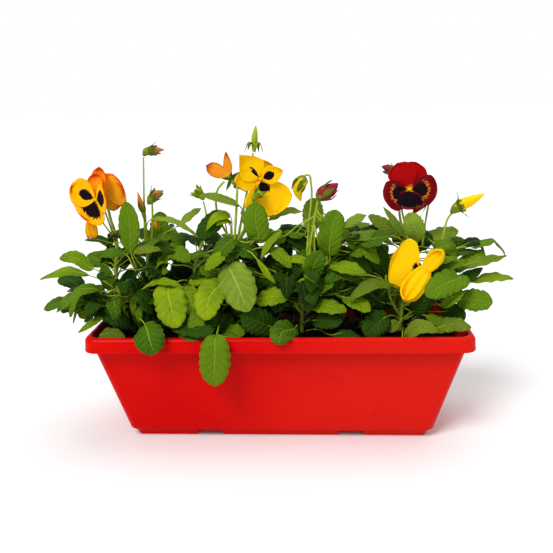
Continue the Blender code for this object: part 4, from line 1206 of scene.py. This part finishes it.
STEMS = {
    "plant_left_stems": (
        Stem(((-183, -13, 119.5), (-185, -14, 140), (-195, -18, 172), (-199, -13, 198), (-196, -8, 222)), 2.6, 1.8),
        Stem(((-183, -13, 123), (-192, -18, 138), (-205, -25, 156), (-214, -30, 176)), 2.0, 1.3),
        Stem(((-183, -13, 123), (-174, -17, 150), (-161, -18, 182), (-160, -8, 212), (-163, 0, 238)), 2.2, 1.5),
        Stem(((-196, -9, 219), (-201, -2, 238), (-208, 4, 258), (-212, 2, 276), (-211, -2, 284)), 1.1, 1.0),
        Stem(((-196, -8, 216), (-199, 0, 240), (-205, 3, 262), (-208, 5, 282)), 1.65, 1.5),
        Stem(((-200, -2, 236), (-210, 0, 250), (-221, 2, 264), (-228, 4, 266)), 0.9, 0.8),
        Stem(((-160, -6, 222), (-161, -1, 240), (-161, 0, 258)), 1.4, 1.2),
        Stem(((-163, 0, 234), (-164, 8, 262), (-163, 12, 300), (-161, 12, 333)), 1.2, 0.9),
        Stem(((-160, -8, 210), (-154, -1, 240), (-152, 0, 262), (-151, -1, 278)), 1.2, 1.0),
    ),
    "plant_centre_left_stems": (
        Stem(((-80, -10, 119.5), (-77, -10, 135), (-62, -13, 161), (-57, -8, 197), (-50, -2, 232)), 2.6, 1.8),
        Stem(((-80, -10, 125), (-64, -16, 138), (-50, -26, 152), (-47, -30, 168)), 1.8, 1.2),
        Stem(((-80, -10, 124), (-94, -13, 150), (-102, -14, 190), (-92, -5, 232)), 2.0, 1.4),
        Stem(((-50, -2, 229), (-43, 4, 262), (-35, 12, 300), (-29, 18, 335)), 1.5, 1.0),
        Stem(((-57, -8, 195), (-60, 8, 230), (-74, 10, 262), (-70, 4, 296), (-63, 2, 303)), 1.3, 1.2),
        Stem(((-92, -5, 229), (-86, 0, 259), (-89, 0, 280)), 1.1, 0.9),
        Stem(((-50, -2, 226), (-34, 14, 256), (-20, 22, 286), (-17, 16, 302), (-16, 8, 303)), 1.6, 1.3),
        Stem(((-54, -6, 214), (-51, -10, 244), (-48, -11, 274), (-46, -9, 303)), 1.5, 1.3),
        Stem(((-50, -6, 232), (-36, -10, 256), (-29, -10, 280)), 1.2, 1.0),
    ),
    "plant_centre_right_stems": (
        Stem(((27, -17, 119.5), (28, -17, 151), (31, -15, 180), (36, -6, 216)), 2.5, 1.8),
        Stem(((28, -17, 143), (18, -22, 160), (10, -25, 178), (6, -24, 196)), 1.8, 1.2),
        Stem(((28, -17, 149), (43, -21, 174), (57, -17, 200), (58, -6, 225)), 2.0, 1.4),
        Stem(((33, -12, 196), (37, 0, 250), (40, 2, 300), (38, 1, 309), (33, 0, 309)), 1.3, 1.0),
        Stem(((36, -6, 213), (43, -2, 250), (48, 0, 280)), 1.8, 1.4),
    ),
    "plant_right_stems": (
        Stem(((146, -11, 119.5), (148, -14, 152), (152, -10, 190), (155, 0, 235)), 2.6, 1.7),
        Stem(((147, -12, 132), (174, -13, 162), (189, -5, 192), (194, 4, 220)), 2.0, 1.4),
        Stem(((147, -12, 138), (134, -20, 162), (127, -15, 195)), 1.7, 1.2),
        Stem(((155, 0, 232), (146, 8, 256), (147, 12, 276), (156, 8, 289)), 1.6, 1.3),
        Stem(((156, 0, 232), (150, 9, 256), (146, 15, 284), (142, 16, 304)), 1.2, 1.0),
        Stem(((172, 0, 222), (176, 6, 250), (179, 5, 272)), 1.3, 1.1),
        Stem(((189, -5, 191), (186, -8, 208), (178, -14, 212), (172, -19, 209)), 1.4, 1.2),
        Stem(((194, 4, 217), (198, 5, 238), (203, 5, 256), (209, 4, 264)), 1.3, 1.1),
    ),
}


@dataclass
class Plants:
    """The four plants' stems, leaves and the near-black leaves inside and behind them, coloured as painted shade."""

    finishes: Finishes
    seed: int = 5
    back_leaves: int = 62
    front_leaves: int = 28
    low_leaves: int = 44
    clear: tuple[tuple[float, float, float], ...] = ((163, 190, 56), (-50, 186, 30), (-134, 176, 30))

    def build(self) -> None:
        """Builds every stem and leaf."""
        for node, stems in STEMS.items():
            self._stems(node, stems)
            self._undergrowth(node, stems)
        self._ground_cover()
        for main_leaf in MAIN_LEAVES:
            main_leaf_piece = Leaf(**{**main_leaf.__dict__, "name": f"{main_leaf.name}_blade"})
            main_leaf_piece.build(self.finishes, main_leaf.name)
        for extra in MORE_LEAVES:
            extra.build(self.finishes)

    def _ground_cover(self) -> None:
        """Builds the low near-black leaves, painted shade, that stand over the soil in front of the trough's back wall.
        """
        rng = random.Random(self.seed)
        shaper = Shaper()
        for i in range(self.low_leaves):
            x = -206 + 412 * (i + rng.random()) / self.low_leaves
            y, lean, height = rng.uniform(0, 46), rng.uniform(-16, 16), rng.uniform(22, 60)
            base = (x + lean * 0.4, y - 3, 120 + height * 0.4)
            middle = (x + lean, y - 8, 122 + height)
            tip = (x + lean * 1.9, y - 15, 118 + height * rng.uniform(0.7, 1.3))
            face = (lean * 0.03, -0.8, 0.6)
            kind = rng.choice((Kind.ROUND, Kind.OVAL))
            # Painted shade: these fillers take the near-black tone, a quarter of them the middle green.
            made = leaf("", (x + rng.uniform(-9, 9), y + rng.uniform(0, 8), 119), base, middle, tip, rng.uniform(24, 36), face, kind, Tone.DARK, tint=rng.random())
            self._add(shaper, made, rng.random() < 0.25)
        self._finish(shaper, "low_dark_leaves")

    @staticmethod
    def _add(shaper: "Shaper", made: Leaf, mid: bool) -> None:
        """Adds a coarser leaf to a piece, in the near-black painted-shade green or the middle green."""
        single = Shaper()
        made.shape(single, fine=False, slots=(3, 4, 2) if mid else (0, 1, 2))
        shaper.absorb(single)

    def _finish(self, shaper: "Shaper", name: str) -> None:
        """Turns gathered leaves into a piece, with the near-black painted-shade skins and the middle green's."""
        # The near-black skins are painted shade.
        dark, mid_skins = self.finishes.leaf(Tone.DARK), self.finishes.leaf(Tone.MID)
        shaper.finish(name, "leaf_green", [*dark, *mid_skins[:2]])

    def _stems(self, node: str, stems: tuple[Stem, ...]) -> None:
        """Builds one plant's stems as a piece, with a slight swelling at each joint."""
        shaper = Shaper()
        for stem in stems:
            last = len(stem.points) - 1

            def radius(u: float, stem: Stem = stem, last: int = last) -> float:
                joint = 0.12 * math.exp(-(((u * last) % 1.0 - 0.5) ** 2) * 60)
                return (stem.foot + (stem.top - stem.foot) * u) * (1 + joint)

            shaper.tube(Path(stem.points), (0.0, last), radius, 10, 14 * last, 0, wave=lambda a, u: 0.06 * math.cos(4 * a))
        shaper.finish(f"{node}_green", "stem_green", [self.finishes.stalk()], (node,))

    def _undergrowth(self, node: str, stems: tuple[Stem, ...]) -> None:
        """Builds one plant's inner, side and back leaves as a piece, mostly near-black painted shade."""
        rng = random.Random(f"{self.seed}{node}")
        shaper = Shaper()
        woody = [Path(stem.points) for stem in stems if stem.foot >= 1.7]
        for i in range(self.back_leaves + self.front_leaves):
            front = i >= self.back_leaves
            path = rng.choice(woody)
            share = 1 - 0.35 * rng.random() if i % 2 and not front else rng.random() ** 1.2
            root = path.at(0.3 + (len(path.points) - (2.2 if front else 1.5)) * share) / MM
            heading = math.radians(rng.uniform(200, 340) if front else rng.uniform(-30, 210))
            out = Vector((math.cos(heading), math.sin(heading), 0.0))
            reach = rng.uniform(8, 26) if front else rng.uniform(14, 44)
            size = rng.uniform(20, 34) if front else rng.uniform(26, 44)
            base = root + out * reach + Vector((0, 0, rng.uniform(0, 18)))
            middle = base + out * size * 0.5 + Vector((0, 0, 6))
            tip = base + out * size * 0.92 + Vector((0, 0, rng.uniform(-22, 12)))
            floor = 141 if abs(tip.x) > 200 or abs(tip.y) > 66 else 128
            lift = Vector((0, 0, max(floor - min(base.z, tip.z), 0.0)))
            lift.z -= max(max(base.z, middle.z, tip.z) - (205 if front else 242), 0.0)
            near = [abs(spot.x - x) < r and abs(spot.z + lift.z - z) < r for x, z, r in self.clear for spot in (middle, tip)]
            if front and any(near):
                continue
            spots = [tuple(spot + lift) for spot in (base, middle, tip)]
            face = tuple(out * 0.5 + Vector((rng.uniform(-0.3, 0.3), rng.uniform(-0.5, 0.0), 0.8)))
            kind = rng.choice((Kind.ROUND, Kind.OVAL, Kind.OVAL, Kind.LANCE))
            # Painted shade: the inside and back fill takes the near-black tone, some leaves the middle green.
            made = leaf("", tuple(root), *spots, size * rng.uniform(0.5, 0.8), face, kind, Tone.DARK, tint=rng.random())
            mid = rng.random() < (0.25 if front else 0.5)
            self._add(shaper, made, mid)
        self._finish(shaper, node.replace("stems", "inner_leaves"))


# ------------------------------------------------------------------- flowers


def facing_axes(facing: Vector, roll: float = 0.0) -> tuple[Vector, Vector, Vector]:
    """A flower's rightward, upward and forward directions, after its roll in degrees."""
    forward = facing.normalized()
    right = Vector((0, 0, 1)).cross(forward).normalized()
    up = forward.cross(right)
    turn = math.radians(roll)
    return right * math.cos(turn) + up * math.sin(turn), up * math.cos(turn) - right * math.sin(turn), forward


@dataclass(frozen=True)
class Petal:
    """One petal: its place round the flower, its size, its tilt and how it cups and ruffles."""

    name: str
    angle: float
    length: float
    width: float
    lift: float
    layer: float
    finish: str
    back: str
    cup: float = 0.1
    curl: float = 0.0
    ruffle: float = 0.03
    twist: float = 0.0
    taper: float = 0.0
    base: float = 0.14
    start: float = 1.5
    shift: float = 0.0

    def place(self, axes: tuple[Vector, Vector, Vector], centre: Vector, s: float, t: float) -> Vector:
        """Where a point of the petal lies.

        Args:
            axes: The flower's rightward, upward and forward directions.
            centre: The flower's middle, in millimetres.
            s: How far across the petal it is, from -1 to 1.
            t: How far along the petal it is, from 0 to 1.

        Returns:
            The point in metres.
        """
        right, up, forward = axes
        angle, lift = math.radians(self.angle), math.radians(self.lift)
        outward = right * math.cos(angle) + up * math.sin(angle)
        along = outward * math.cos(lift) + forward * math.sin(lift)
        normal = forward * math.cos(lift) - outward * math.sin(lift)
        if self.twist:
            normal = Matrix.Rotation(math.radians(self.twist), 3, along) @ normal
        side = along.cross(normal)
        share = max(1 - abs(2 * t**1.3 - 1) ** 2.3, 0.0) ** 0.56
        share = max(share, self.base * (1 - t)) * (1 - self.taper * t)
        frill = 1 + 0.02 * math.sin(13 * s + self.angle) * t + 0.015 * math.sin(29 * s) * t
        half = self.width / 2 * share * (1 + 0.02 * math.sin(24 * t + self.angle) * t)
        reach = self.start + (self.length - self.start) * t * frill
        wave = self.ruffle * self.length * t * t * math.sin(8.5 * s + self.angle) * (0.4 + abs(s))
        rise = self.cup * self.width * s * s * t + self.curl * self.length * t * t + wave
        spot = centre + forward * self.layer + right * self.shift
        return (spot + along * reach + side * s * half + normal * rise) * MM


@dataclass(frozen=True)
class Blossom:
    """An open flower: its petals, its eye and the sepals behind it."""

    name: str
    centre: Point
    facing: Point
    roll: float
    petals: tuple[Petal, ...]
    nodes: tuple[str, ...]
    slot: str
    eye: float = 2.3
    sepals: float = 13.0

    def build(self, finishes: Finishes) -> None:
        """Builds the flower's petals, and its eye and sepals as one more piece."""
        axes = facing_axes(Vector(self.facing), self.roll)
        centre = Vector(self.centre)
        for i, petal in enumerate(self.petals):
            shaper = Shaper()
            shaper.sheet(lambda s, t, petal=petal: petal.place(axes, centre, s, t), 22, 24, 0.3, ease=1.8)
            skins = [finishes.petal(petal.finish), finishes.petal(petal.back)]
            nodes = self.nodes if len(self.nodes) == 1 and i == 0 else ()
            if len(self.nodes) > 1:
                nodes = (f"{self.name}_{petal.name}",)
            shaper.finish(f"{self.name}_{petal.name}_petal", self.slot, skins, nodes)
        self._eye(axes, centre, finishes)

    def _eye(self, axes: tuple[Vector, Vector, Vector], centre: Vector, finishes: Finishes) -> None:
        """Builds the eye, the spur and the sepals behind the petals."""
        right, up, forward = axes
        shaper = Shaper()
        front = [centre + forward * step for step in (-2.0, 1.2, 3.4)]
        shaper.tube(Path(tuple(tuple(p) for p in front)), (0.0, 2.0), lambda u: self.eye * math.sin(math.pi * (0.35 + 0.6 * u)), 10, 8, 2)
        back = [centre - forward * 4.0, centre - forward * 8.0 + up, centre - forward * 12.0 + up * 3.0]
        shaper.tube(Path(tuple(tuple(p) for p in back)), (0.0, 2.0), lambda u: 2.2 - 1.2 * u, 10, 10, 0)
        for k in range(5):
            angle = math.tau * (k + 0.5) / 5
            out = right * math.cos(angle) + up * math.sin(angle)
            reach = self.sepals * (1.0 if k % 2 else 0.8)
            spots = [centre - forward * 8.0, centre - forward * 9.0 + out * reach * 0.5, centre - forward * 8.0 + out * reach]
            blade = Blade(Path(tuple(tuple(p) for p in spots)), 0.0, 2.0, 5.0, -forward, Kind.SEPAL)
            shaper.sheet(blade.place, 4, 12, 0.3, (0, 1))
        skins = finishes.leaf(Tone.MID)[:2]
        shaper.finish(f"{self.name}_eye_and_calyx", "bud_green", [*skins, finishes.petal("eye")])


FLOWERS = (
    Blossom("orange_flower", (-215, -14, 286), (-0.4, -0.9, 0.1), 0, (
        Petal("upper_left", 106, 31, 26, -8, -3.0, "orange_upper", "orange_back"),
        Petal("upper_right", 94, 38, 25, -8, -4.6, "orange_upper", "orange_back"),
        Petal("side_left", 159, 36, 35, 8, 0.6, "orange_side", "orange_back", cup=0.06),
        Petal("side_right", 10, 24, 36, 16, 0.6, "orange_narrow", "orange_back", cup=0.06),
        Petal("lower", 241, 27.5, 50, 10, -1.2, "orange_lower", "orange_back", cup=0.08),
    ), ("orange_flower_upper_left", "orange_flower_upper_right", "orange_flower_side_left", "orange_flower_side_right",
        "orange_flower_lower"), "orange_petal"),
    Blossom("yellow_flower", (-19, -4, 306), (0.3, -0.94, 0.0), 0, (
        Petal("upper_left", 130, 37, 52, -2, -0.6, "yellow_hood", "yellow_back", ruffle=0.02, taper=0.8),
        Petal("upper_right", 80, 22, 40, -6, -4.6, "yellow_plain", "yellow_back", taper=0.3),
        Petal("side_left", 180, 31, 34, 4, -2.6, "yellow_plain", "yellow_back", taper=0.45),
        Petal("side_right", 22, 27, 31, 12, 0.6, "yellow_blotched", "yellow_back", taper=0.6),
        Petal("lower", 287, 45, 58, 4, -1.2, "yellow_lip", "yellow_back"),
    ), ("yellow_flower_upper_left", "yellow_flower_upper_right", "yellow_flower_side_left", "yellow_flower_side_right",
        "yellow_flower_lower"), "yellow_petal"),
    Blossom("red_flower", (155, -4, 291), (0.0, -0.99, 0.12), 9, (
        Petal("upper_left", 104, 33, 34, -6, -3.0, "red_upper", "red_back", cup=0.0),
        Petal("upper_right", 68, 32, 34, -6, -4.4, "red_upper", "red_back", cup=0.0),
        Petal("side_left", 192, 31, 37, 8, 0.6, "red_side", "red_back", cup=-0.05),
        Petal("side_right", 348, 31, 36, 8, 0.6, "red_side", "red_back", cup=-0.05),
        Petal("lower", 256, 23, 46, 6, 2.0, "red_lower", "red_back", cup=-0.05),
    ), ("red_flower_upper_left", "red_flower_upper_right", "red_flower_side_left", "red_flower_side_right",
        "red_flower_lower"), "dark_red_petal"),
    Blossom("round_orange_flower", (-210, 5, 289), (0.3, 0.95, 0.1), 0, (
        Petal("fan", 158, 27, 42, 6, -1.5, "orange_side", "orange_back", cup=0.08),
        Petal("upper", 112, 26, 32, 10, 1.0, "orange_upper", "orange_back"),
        Petal("lower", 216, 22, 30, 10, 0.5, "orange_lower", "orange_back"),
    ), ("round_orange_flower",), "orange_petal"),
    Blossom("side_orange_flower", (-57, 0, 309), (-0.2, -0.9, 0.3), 0, (
        Petal("left", 156, 30, 17, 10, 0.0, "spent_orange", "spent_orange", cup=-0.1),
        Petal("right", 99, 29, 17, 10, 0.0, "spent_orange", "spent_orange", cup=-0.1, taper=0.75),
    ), ("side_orange_flower",), "orange_petal", eye=0.8, sepals=16.0),
    Blossom("golden_flower", (165, -33, 202), (-0.25, -0.95, 0.15), 0, (
        Petal("fan", 162, 34, 60, 10, 0.0, "golden_fan", "yellow_back", ruffle=0.015, cup=0.05),
        Petal("ridge_upper", 53, 30, 16, 12, 2.0, "yellow_plain", "yellow_back", ruffle=0.1, base=0.45, start=-8, shift=7,
              taper=-0.3),
        Petal("ridge_lower", 239, 43, 22, 12, 1.6, "yellow_plain", "yellow_back", ruffle=0.13, curl=0.03, base=0.5, start=-11,
              shift=7, taper=-0.3),
        Petal("back_right", 318, 22, 16, 8, -3.0, "yellow_plain", "yellow_back", twist=50),
    ), ("golden_flower",), "yellow_petal", sepals=9.0),
    Blossom("spent_flower", (-229, 0, 264), (0.0, -1.0, 0.1), 0, (
        Petal("left", 261, 27, 11, 0, 0.0, "spent_yellow", "spent_yellow", cup=-0.3, ruffle=0.06),
        Petal("right", 284, 28, 13, 8, 1.5, "spent_yellow", "spent_yellow", cup=0.3, ruffle=0.07),
    ), ("spent_flower",), "orange_petal", eye=0.8, sepals=13.0),
)


@dataclass(frozen=True)
class Bud:
    """A closed or fading flower: its body along a path, with sepals round its foot."""

    name: str
    points: tuple[Point, ...]
    radius: float
    finish: str
    slot: str
    sepals: int = 5
    sepal_length: float = 12.0
    sepal_width: float = 7.5
    rise: float = 0.85
    spread: float = 0.15
    furrows: int = 5
    from_share: float = 0.25
    cover: float = 0.4
    in_cad: bool = True

    def build(self, finishes: Finishes) -> None:
        """Builds the bud's body and its sepals as one piece."""
        shaper = Shaper()
        path = Path(self.points)
        last = len(self.points) - 1.0

        def radius(u: float) -> float:
            return max(self.radius * max(math.sin(math.pi * min(u * 0.96 + 0.03, 1.0)), 0.0) ** 0.8, 0.5)

        def twist(angle: float, u: float) -> float:
            return 0.12 * math.cos(self.furrows * angle + 4 * u) * math.sin(math.pi * u)

        shaper.tube(path, (0.0, last), radius, 20, 26, 2, wave=twist)
        middle = last * 0.45
        side, up = path.axes(middle, Vector((0.3, -1.0, 0.15)))
        axis = path.direction(middle)
        foot = path.at(last * self.from_share) / MM
        shaper.tube(path, (0.0, last * self.cover), lambda u: radius(u * self.cover) + 0.7 - 0.5 * u, 16, 10, 0, wave=twist)
        for k in range(self.sepals):
            angle = math.tau * (k + 0.3) / self.sepals
            out = side * math.cos(angle) + up * math.sin(angle)
            reach = self.sepal_length * (0.85 + 0.25 * ((k * 7) % 5) / 4)
            near = foot + out * max(radius(self.from_share) - 0.8, 0.5)
            waist = foot + axis * reach * max(self.rise, 0.3) * 0.45 + out * (self.radius * 0.95 + 1.2)
            end = foot + axis * reach * self.rise + out * (self.radius * 0.8 + reach * self.spread)
            face = out * self.rise - axis * self.spread
            blade = Blade(Path((tuple(near), tuple(waist), tuple(end))), 0.0, 2.0, self.sepal_width, face, Kind.SEPAL, 0.1)
            shaper.tint = (k * 3 % 5) / 5
            shaper.sheet(blade.place, 4, 14, 0.3, (0, 1))
        skins = finishes.leaf(Tone.BRIGHT if self.finish == "green" else Tone.OLIVE)[:2]
        body = finishes.petal(self.finish) if self.finish != "green" else finishes.stalk()
        shaper.finish(f"{self.name}_with_sepals", self.slot, [*skins, body], (self.name,) if self.in_cad else ())


BUDS = (
    Bud("tall_bud", ((-161, 12, 334.5), (-157, 12, 339), (-148, 12, 341), (-135, 12, 341)), 4.6, "fading_bud", "bud_green",
        sepal_length=17, spread=0.3, cover=0.5, from_share=0.34),
    Bud("low_bud", ((-156, -1, 278), (-152, -1.5, 283), (-146, -2, 289), (-136, -2, 294)), 5.4, "fading_bud", "bud_green",
        sepal_length=17, spread=0.35, cover=0.55, from_share=0.3),
    Bud("seed_pod", ((-28.5, 18.5, 336.5), (-27, 20, 346), (-26, 20, 356), (-25, 20, 367)), 3.8, "green", "bud_green",
        rise=-0.5, spread=0.5, sepal_length=17, furrows=3, from_share=0.28, cover=0.3),
    Bud("small_bud", ((-89, 0, 281.5), (-91, 0, 287), (-96, -1, 291), (-101, -2, 289)), 5.0, "green", "bud_green",
        sepal_length=16, spread=0.4),
    Bud("yellow_bud", ((32, 0, 309), (30, -1, 304), (25, -2, 294), (28, -3, 279)), 7.5, "yellow_bud", "yellow_petal",
        sepal_length=20, spread=0.05, sepal_width=7),
    Bud("red_bud", ((47.5, 0, 279), (53, 0, 285), (62, 0, 291), (72, 0, 299)), 8.8, "red_bud", "dark_red_petal",
        sepal_length=24, sepal_width=8, spread=0.1, cover=0.32),
    Bud("side_bud", ((205, 4, 261), (213, 3, 268), (226, 1, 275), (242, -1, 284)), 6.6, "yellow_plain", "yellow_petal",
        sepal_length=20, sepal_width=10, rise=0.35, spread=0.6, cover=0.5, from_share=0.3),
    Bud("withered_bud", ((-161, 0, 256), (-163, 0, 270), (-165, -1, 281), (-168, -1, 293)), 3.0, "spent_yellow", "orange_petal",
        sepals=4, sepal_length=20, sepal_width=5, spread=0.03, cover=0.3, in_cad=False),
    Bud("fallen_petal_left", ((-155, 4, 259), (-151, 3, 255), (-149, 2, 250), (-147, 2, 246)), 3.2, "spent_yellow", "orange_petal",
        sepals=0, cover=0.1, in_cad=False),
    Bud("fallen_petal_right", ((72, 6, 226), (77, 5, 228), (82, 4, 231), (87, 3, 234)), 2.6, "spent_red", "orange_petal",
        sepals=0, cover=0.1, in_cad=False),
    Bud("side_spur", ((-54, 0, 304), (-50, -2, 301), (-44, -3, 297), (-37, -3, 291)), 2.8, "spent_yellow", "orange_petal",
        sepals=2, sepal_length=14, cover=0.35, in_cad=False),
    Bud("hooded_bud", ((-28, -10, 281), (-25, -12, 287), (-21, -13, 290), (-16, -12, 286)), 4.2, "green", "bud_green",
        sepal_length=14, spread=0.45, in_cad=False),
    Bud("hidden_red_bud", ((142, 16, 305), (137, 17, 310), (131, 17, 314), (124, 17, 316)), 4.6, "red_bud", "dark_red_petal",
        sepal_length=13, spread=0.3, cover=0.5, in_cad=False),
    Bud("spent_red_flower", ((178, 4, 274), (174, 2, 276), (167, 1, 270), (160, 0, 261)), 5.6, "spent_red", "dark_red_petal",
        sepal_length=17, sepal_width=6, spread=0.25, in_cad=False),
)


# ----------------------------------------------------------------------- main


def camera_and_light() -> None:
    """Sets the camera, the pale floor and the soft studio light."""
    scene = bpy.context.scene
    scene.view_settings.view_transform = "Standard"
    yaw, pitch, roll = math.radians(3.75), math.radians(14.16), math.radians(1.42)
    data = bpy.data.cameras.new("camera")
    data.sensor_width = 36.0
    data.lens = 45.57
    camera = bpy.data.objects.new("camera", data)
    turn = Matrix.Rotation(yaw, 4, "Z") @ Matrix.Rotation(-pitch, 4, "X") @ Matrix.Rotation(roll, 4, "Y")
    camera.matrix_world = Matrix.Translation((0.051, -0.829, 0.396)) @ turn @ Matrix.Rotation(math.pi / 2, 4, "X")
    scene.collection.objects.link(camera)
    scene.camera = camera
    world = bpy.data.worlds.new("studio")
    world.use_nodes = True
    nodes, links = world.node_tree.nodes, world.node_tree.links
    soft, seen, which = nodes["Background"], nodes.new("ShaderNodeBackground"), nodes.new("ShaderNodeMixShader")
    soft.inputs[1].default_value, seen.inputs[1].default_value = 0.48, 1.0
    soft.inputs[0].default_value = seen.inputs[0].default_value = (1.0, 1.0, 1.0, 1.0)
    links.new(nodes.new("ShaderNodeLightPath").outputs["Is Camera Ray"], which.inputs[0])
    links.new(soft.outputs[0], which.inputs[1])
    links.new(seen.outputs[0], which.inputs[2])
    links.new(which.outputs[0], nodes["World Output"].inputs[0])
    scene.world = world
    for name, place, spread, power in (
        ("key_light", (-0.45, -0.75, 1.2), 26.0, 2.05),
        ("top_light", (0.25, 0.35, 1.4), 50.0, 0.85),
    ):
        lamp = bpy.data.lights.new(name, "SUN")
        lamp.angle = math.radians(spread)
        lamp.energy = power
        light = bpy.data.objects.new(name, lamp)
        light.location = place
        light.rotation_mode = "QUATERNION"
        light.rotation_quaternion = (Vector((0.0, 0.0, 0.15)) - Vector(place)).to_track_quat("-Z", "Y")
        scene.collection.objects.link(light)
    bm = bmesh.new()
    bmesh.ops.create_grid(bm, x_segments=1, y_segments=1, size=30.0)
    mesh = bpy.data.meshes.new("floor")
    bm.to_mesh(mesh)
    bm.free()
    mesh.materials.append(PlainPaint().make())
    floor = bpy.data.objects.new("floor", mesh)
    scene.collection.objects.link(floor)


def main() -> None:
    """Builds the planter's pieces in order."""
    camera_and_light()
    Trough().build()
    Soil().build()
    finishes = Finishes()
    Plants(finishes).build()
    for flower in FLOWERS:
        flower.build(finishes)
    for bud in BUDS:
        bud.build(finishes)


if __name__ == "__main__":
    logging.basicConfig(level=logging.INFO, format="%(message)s")
    main()
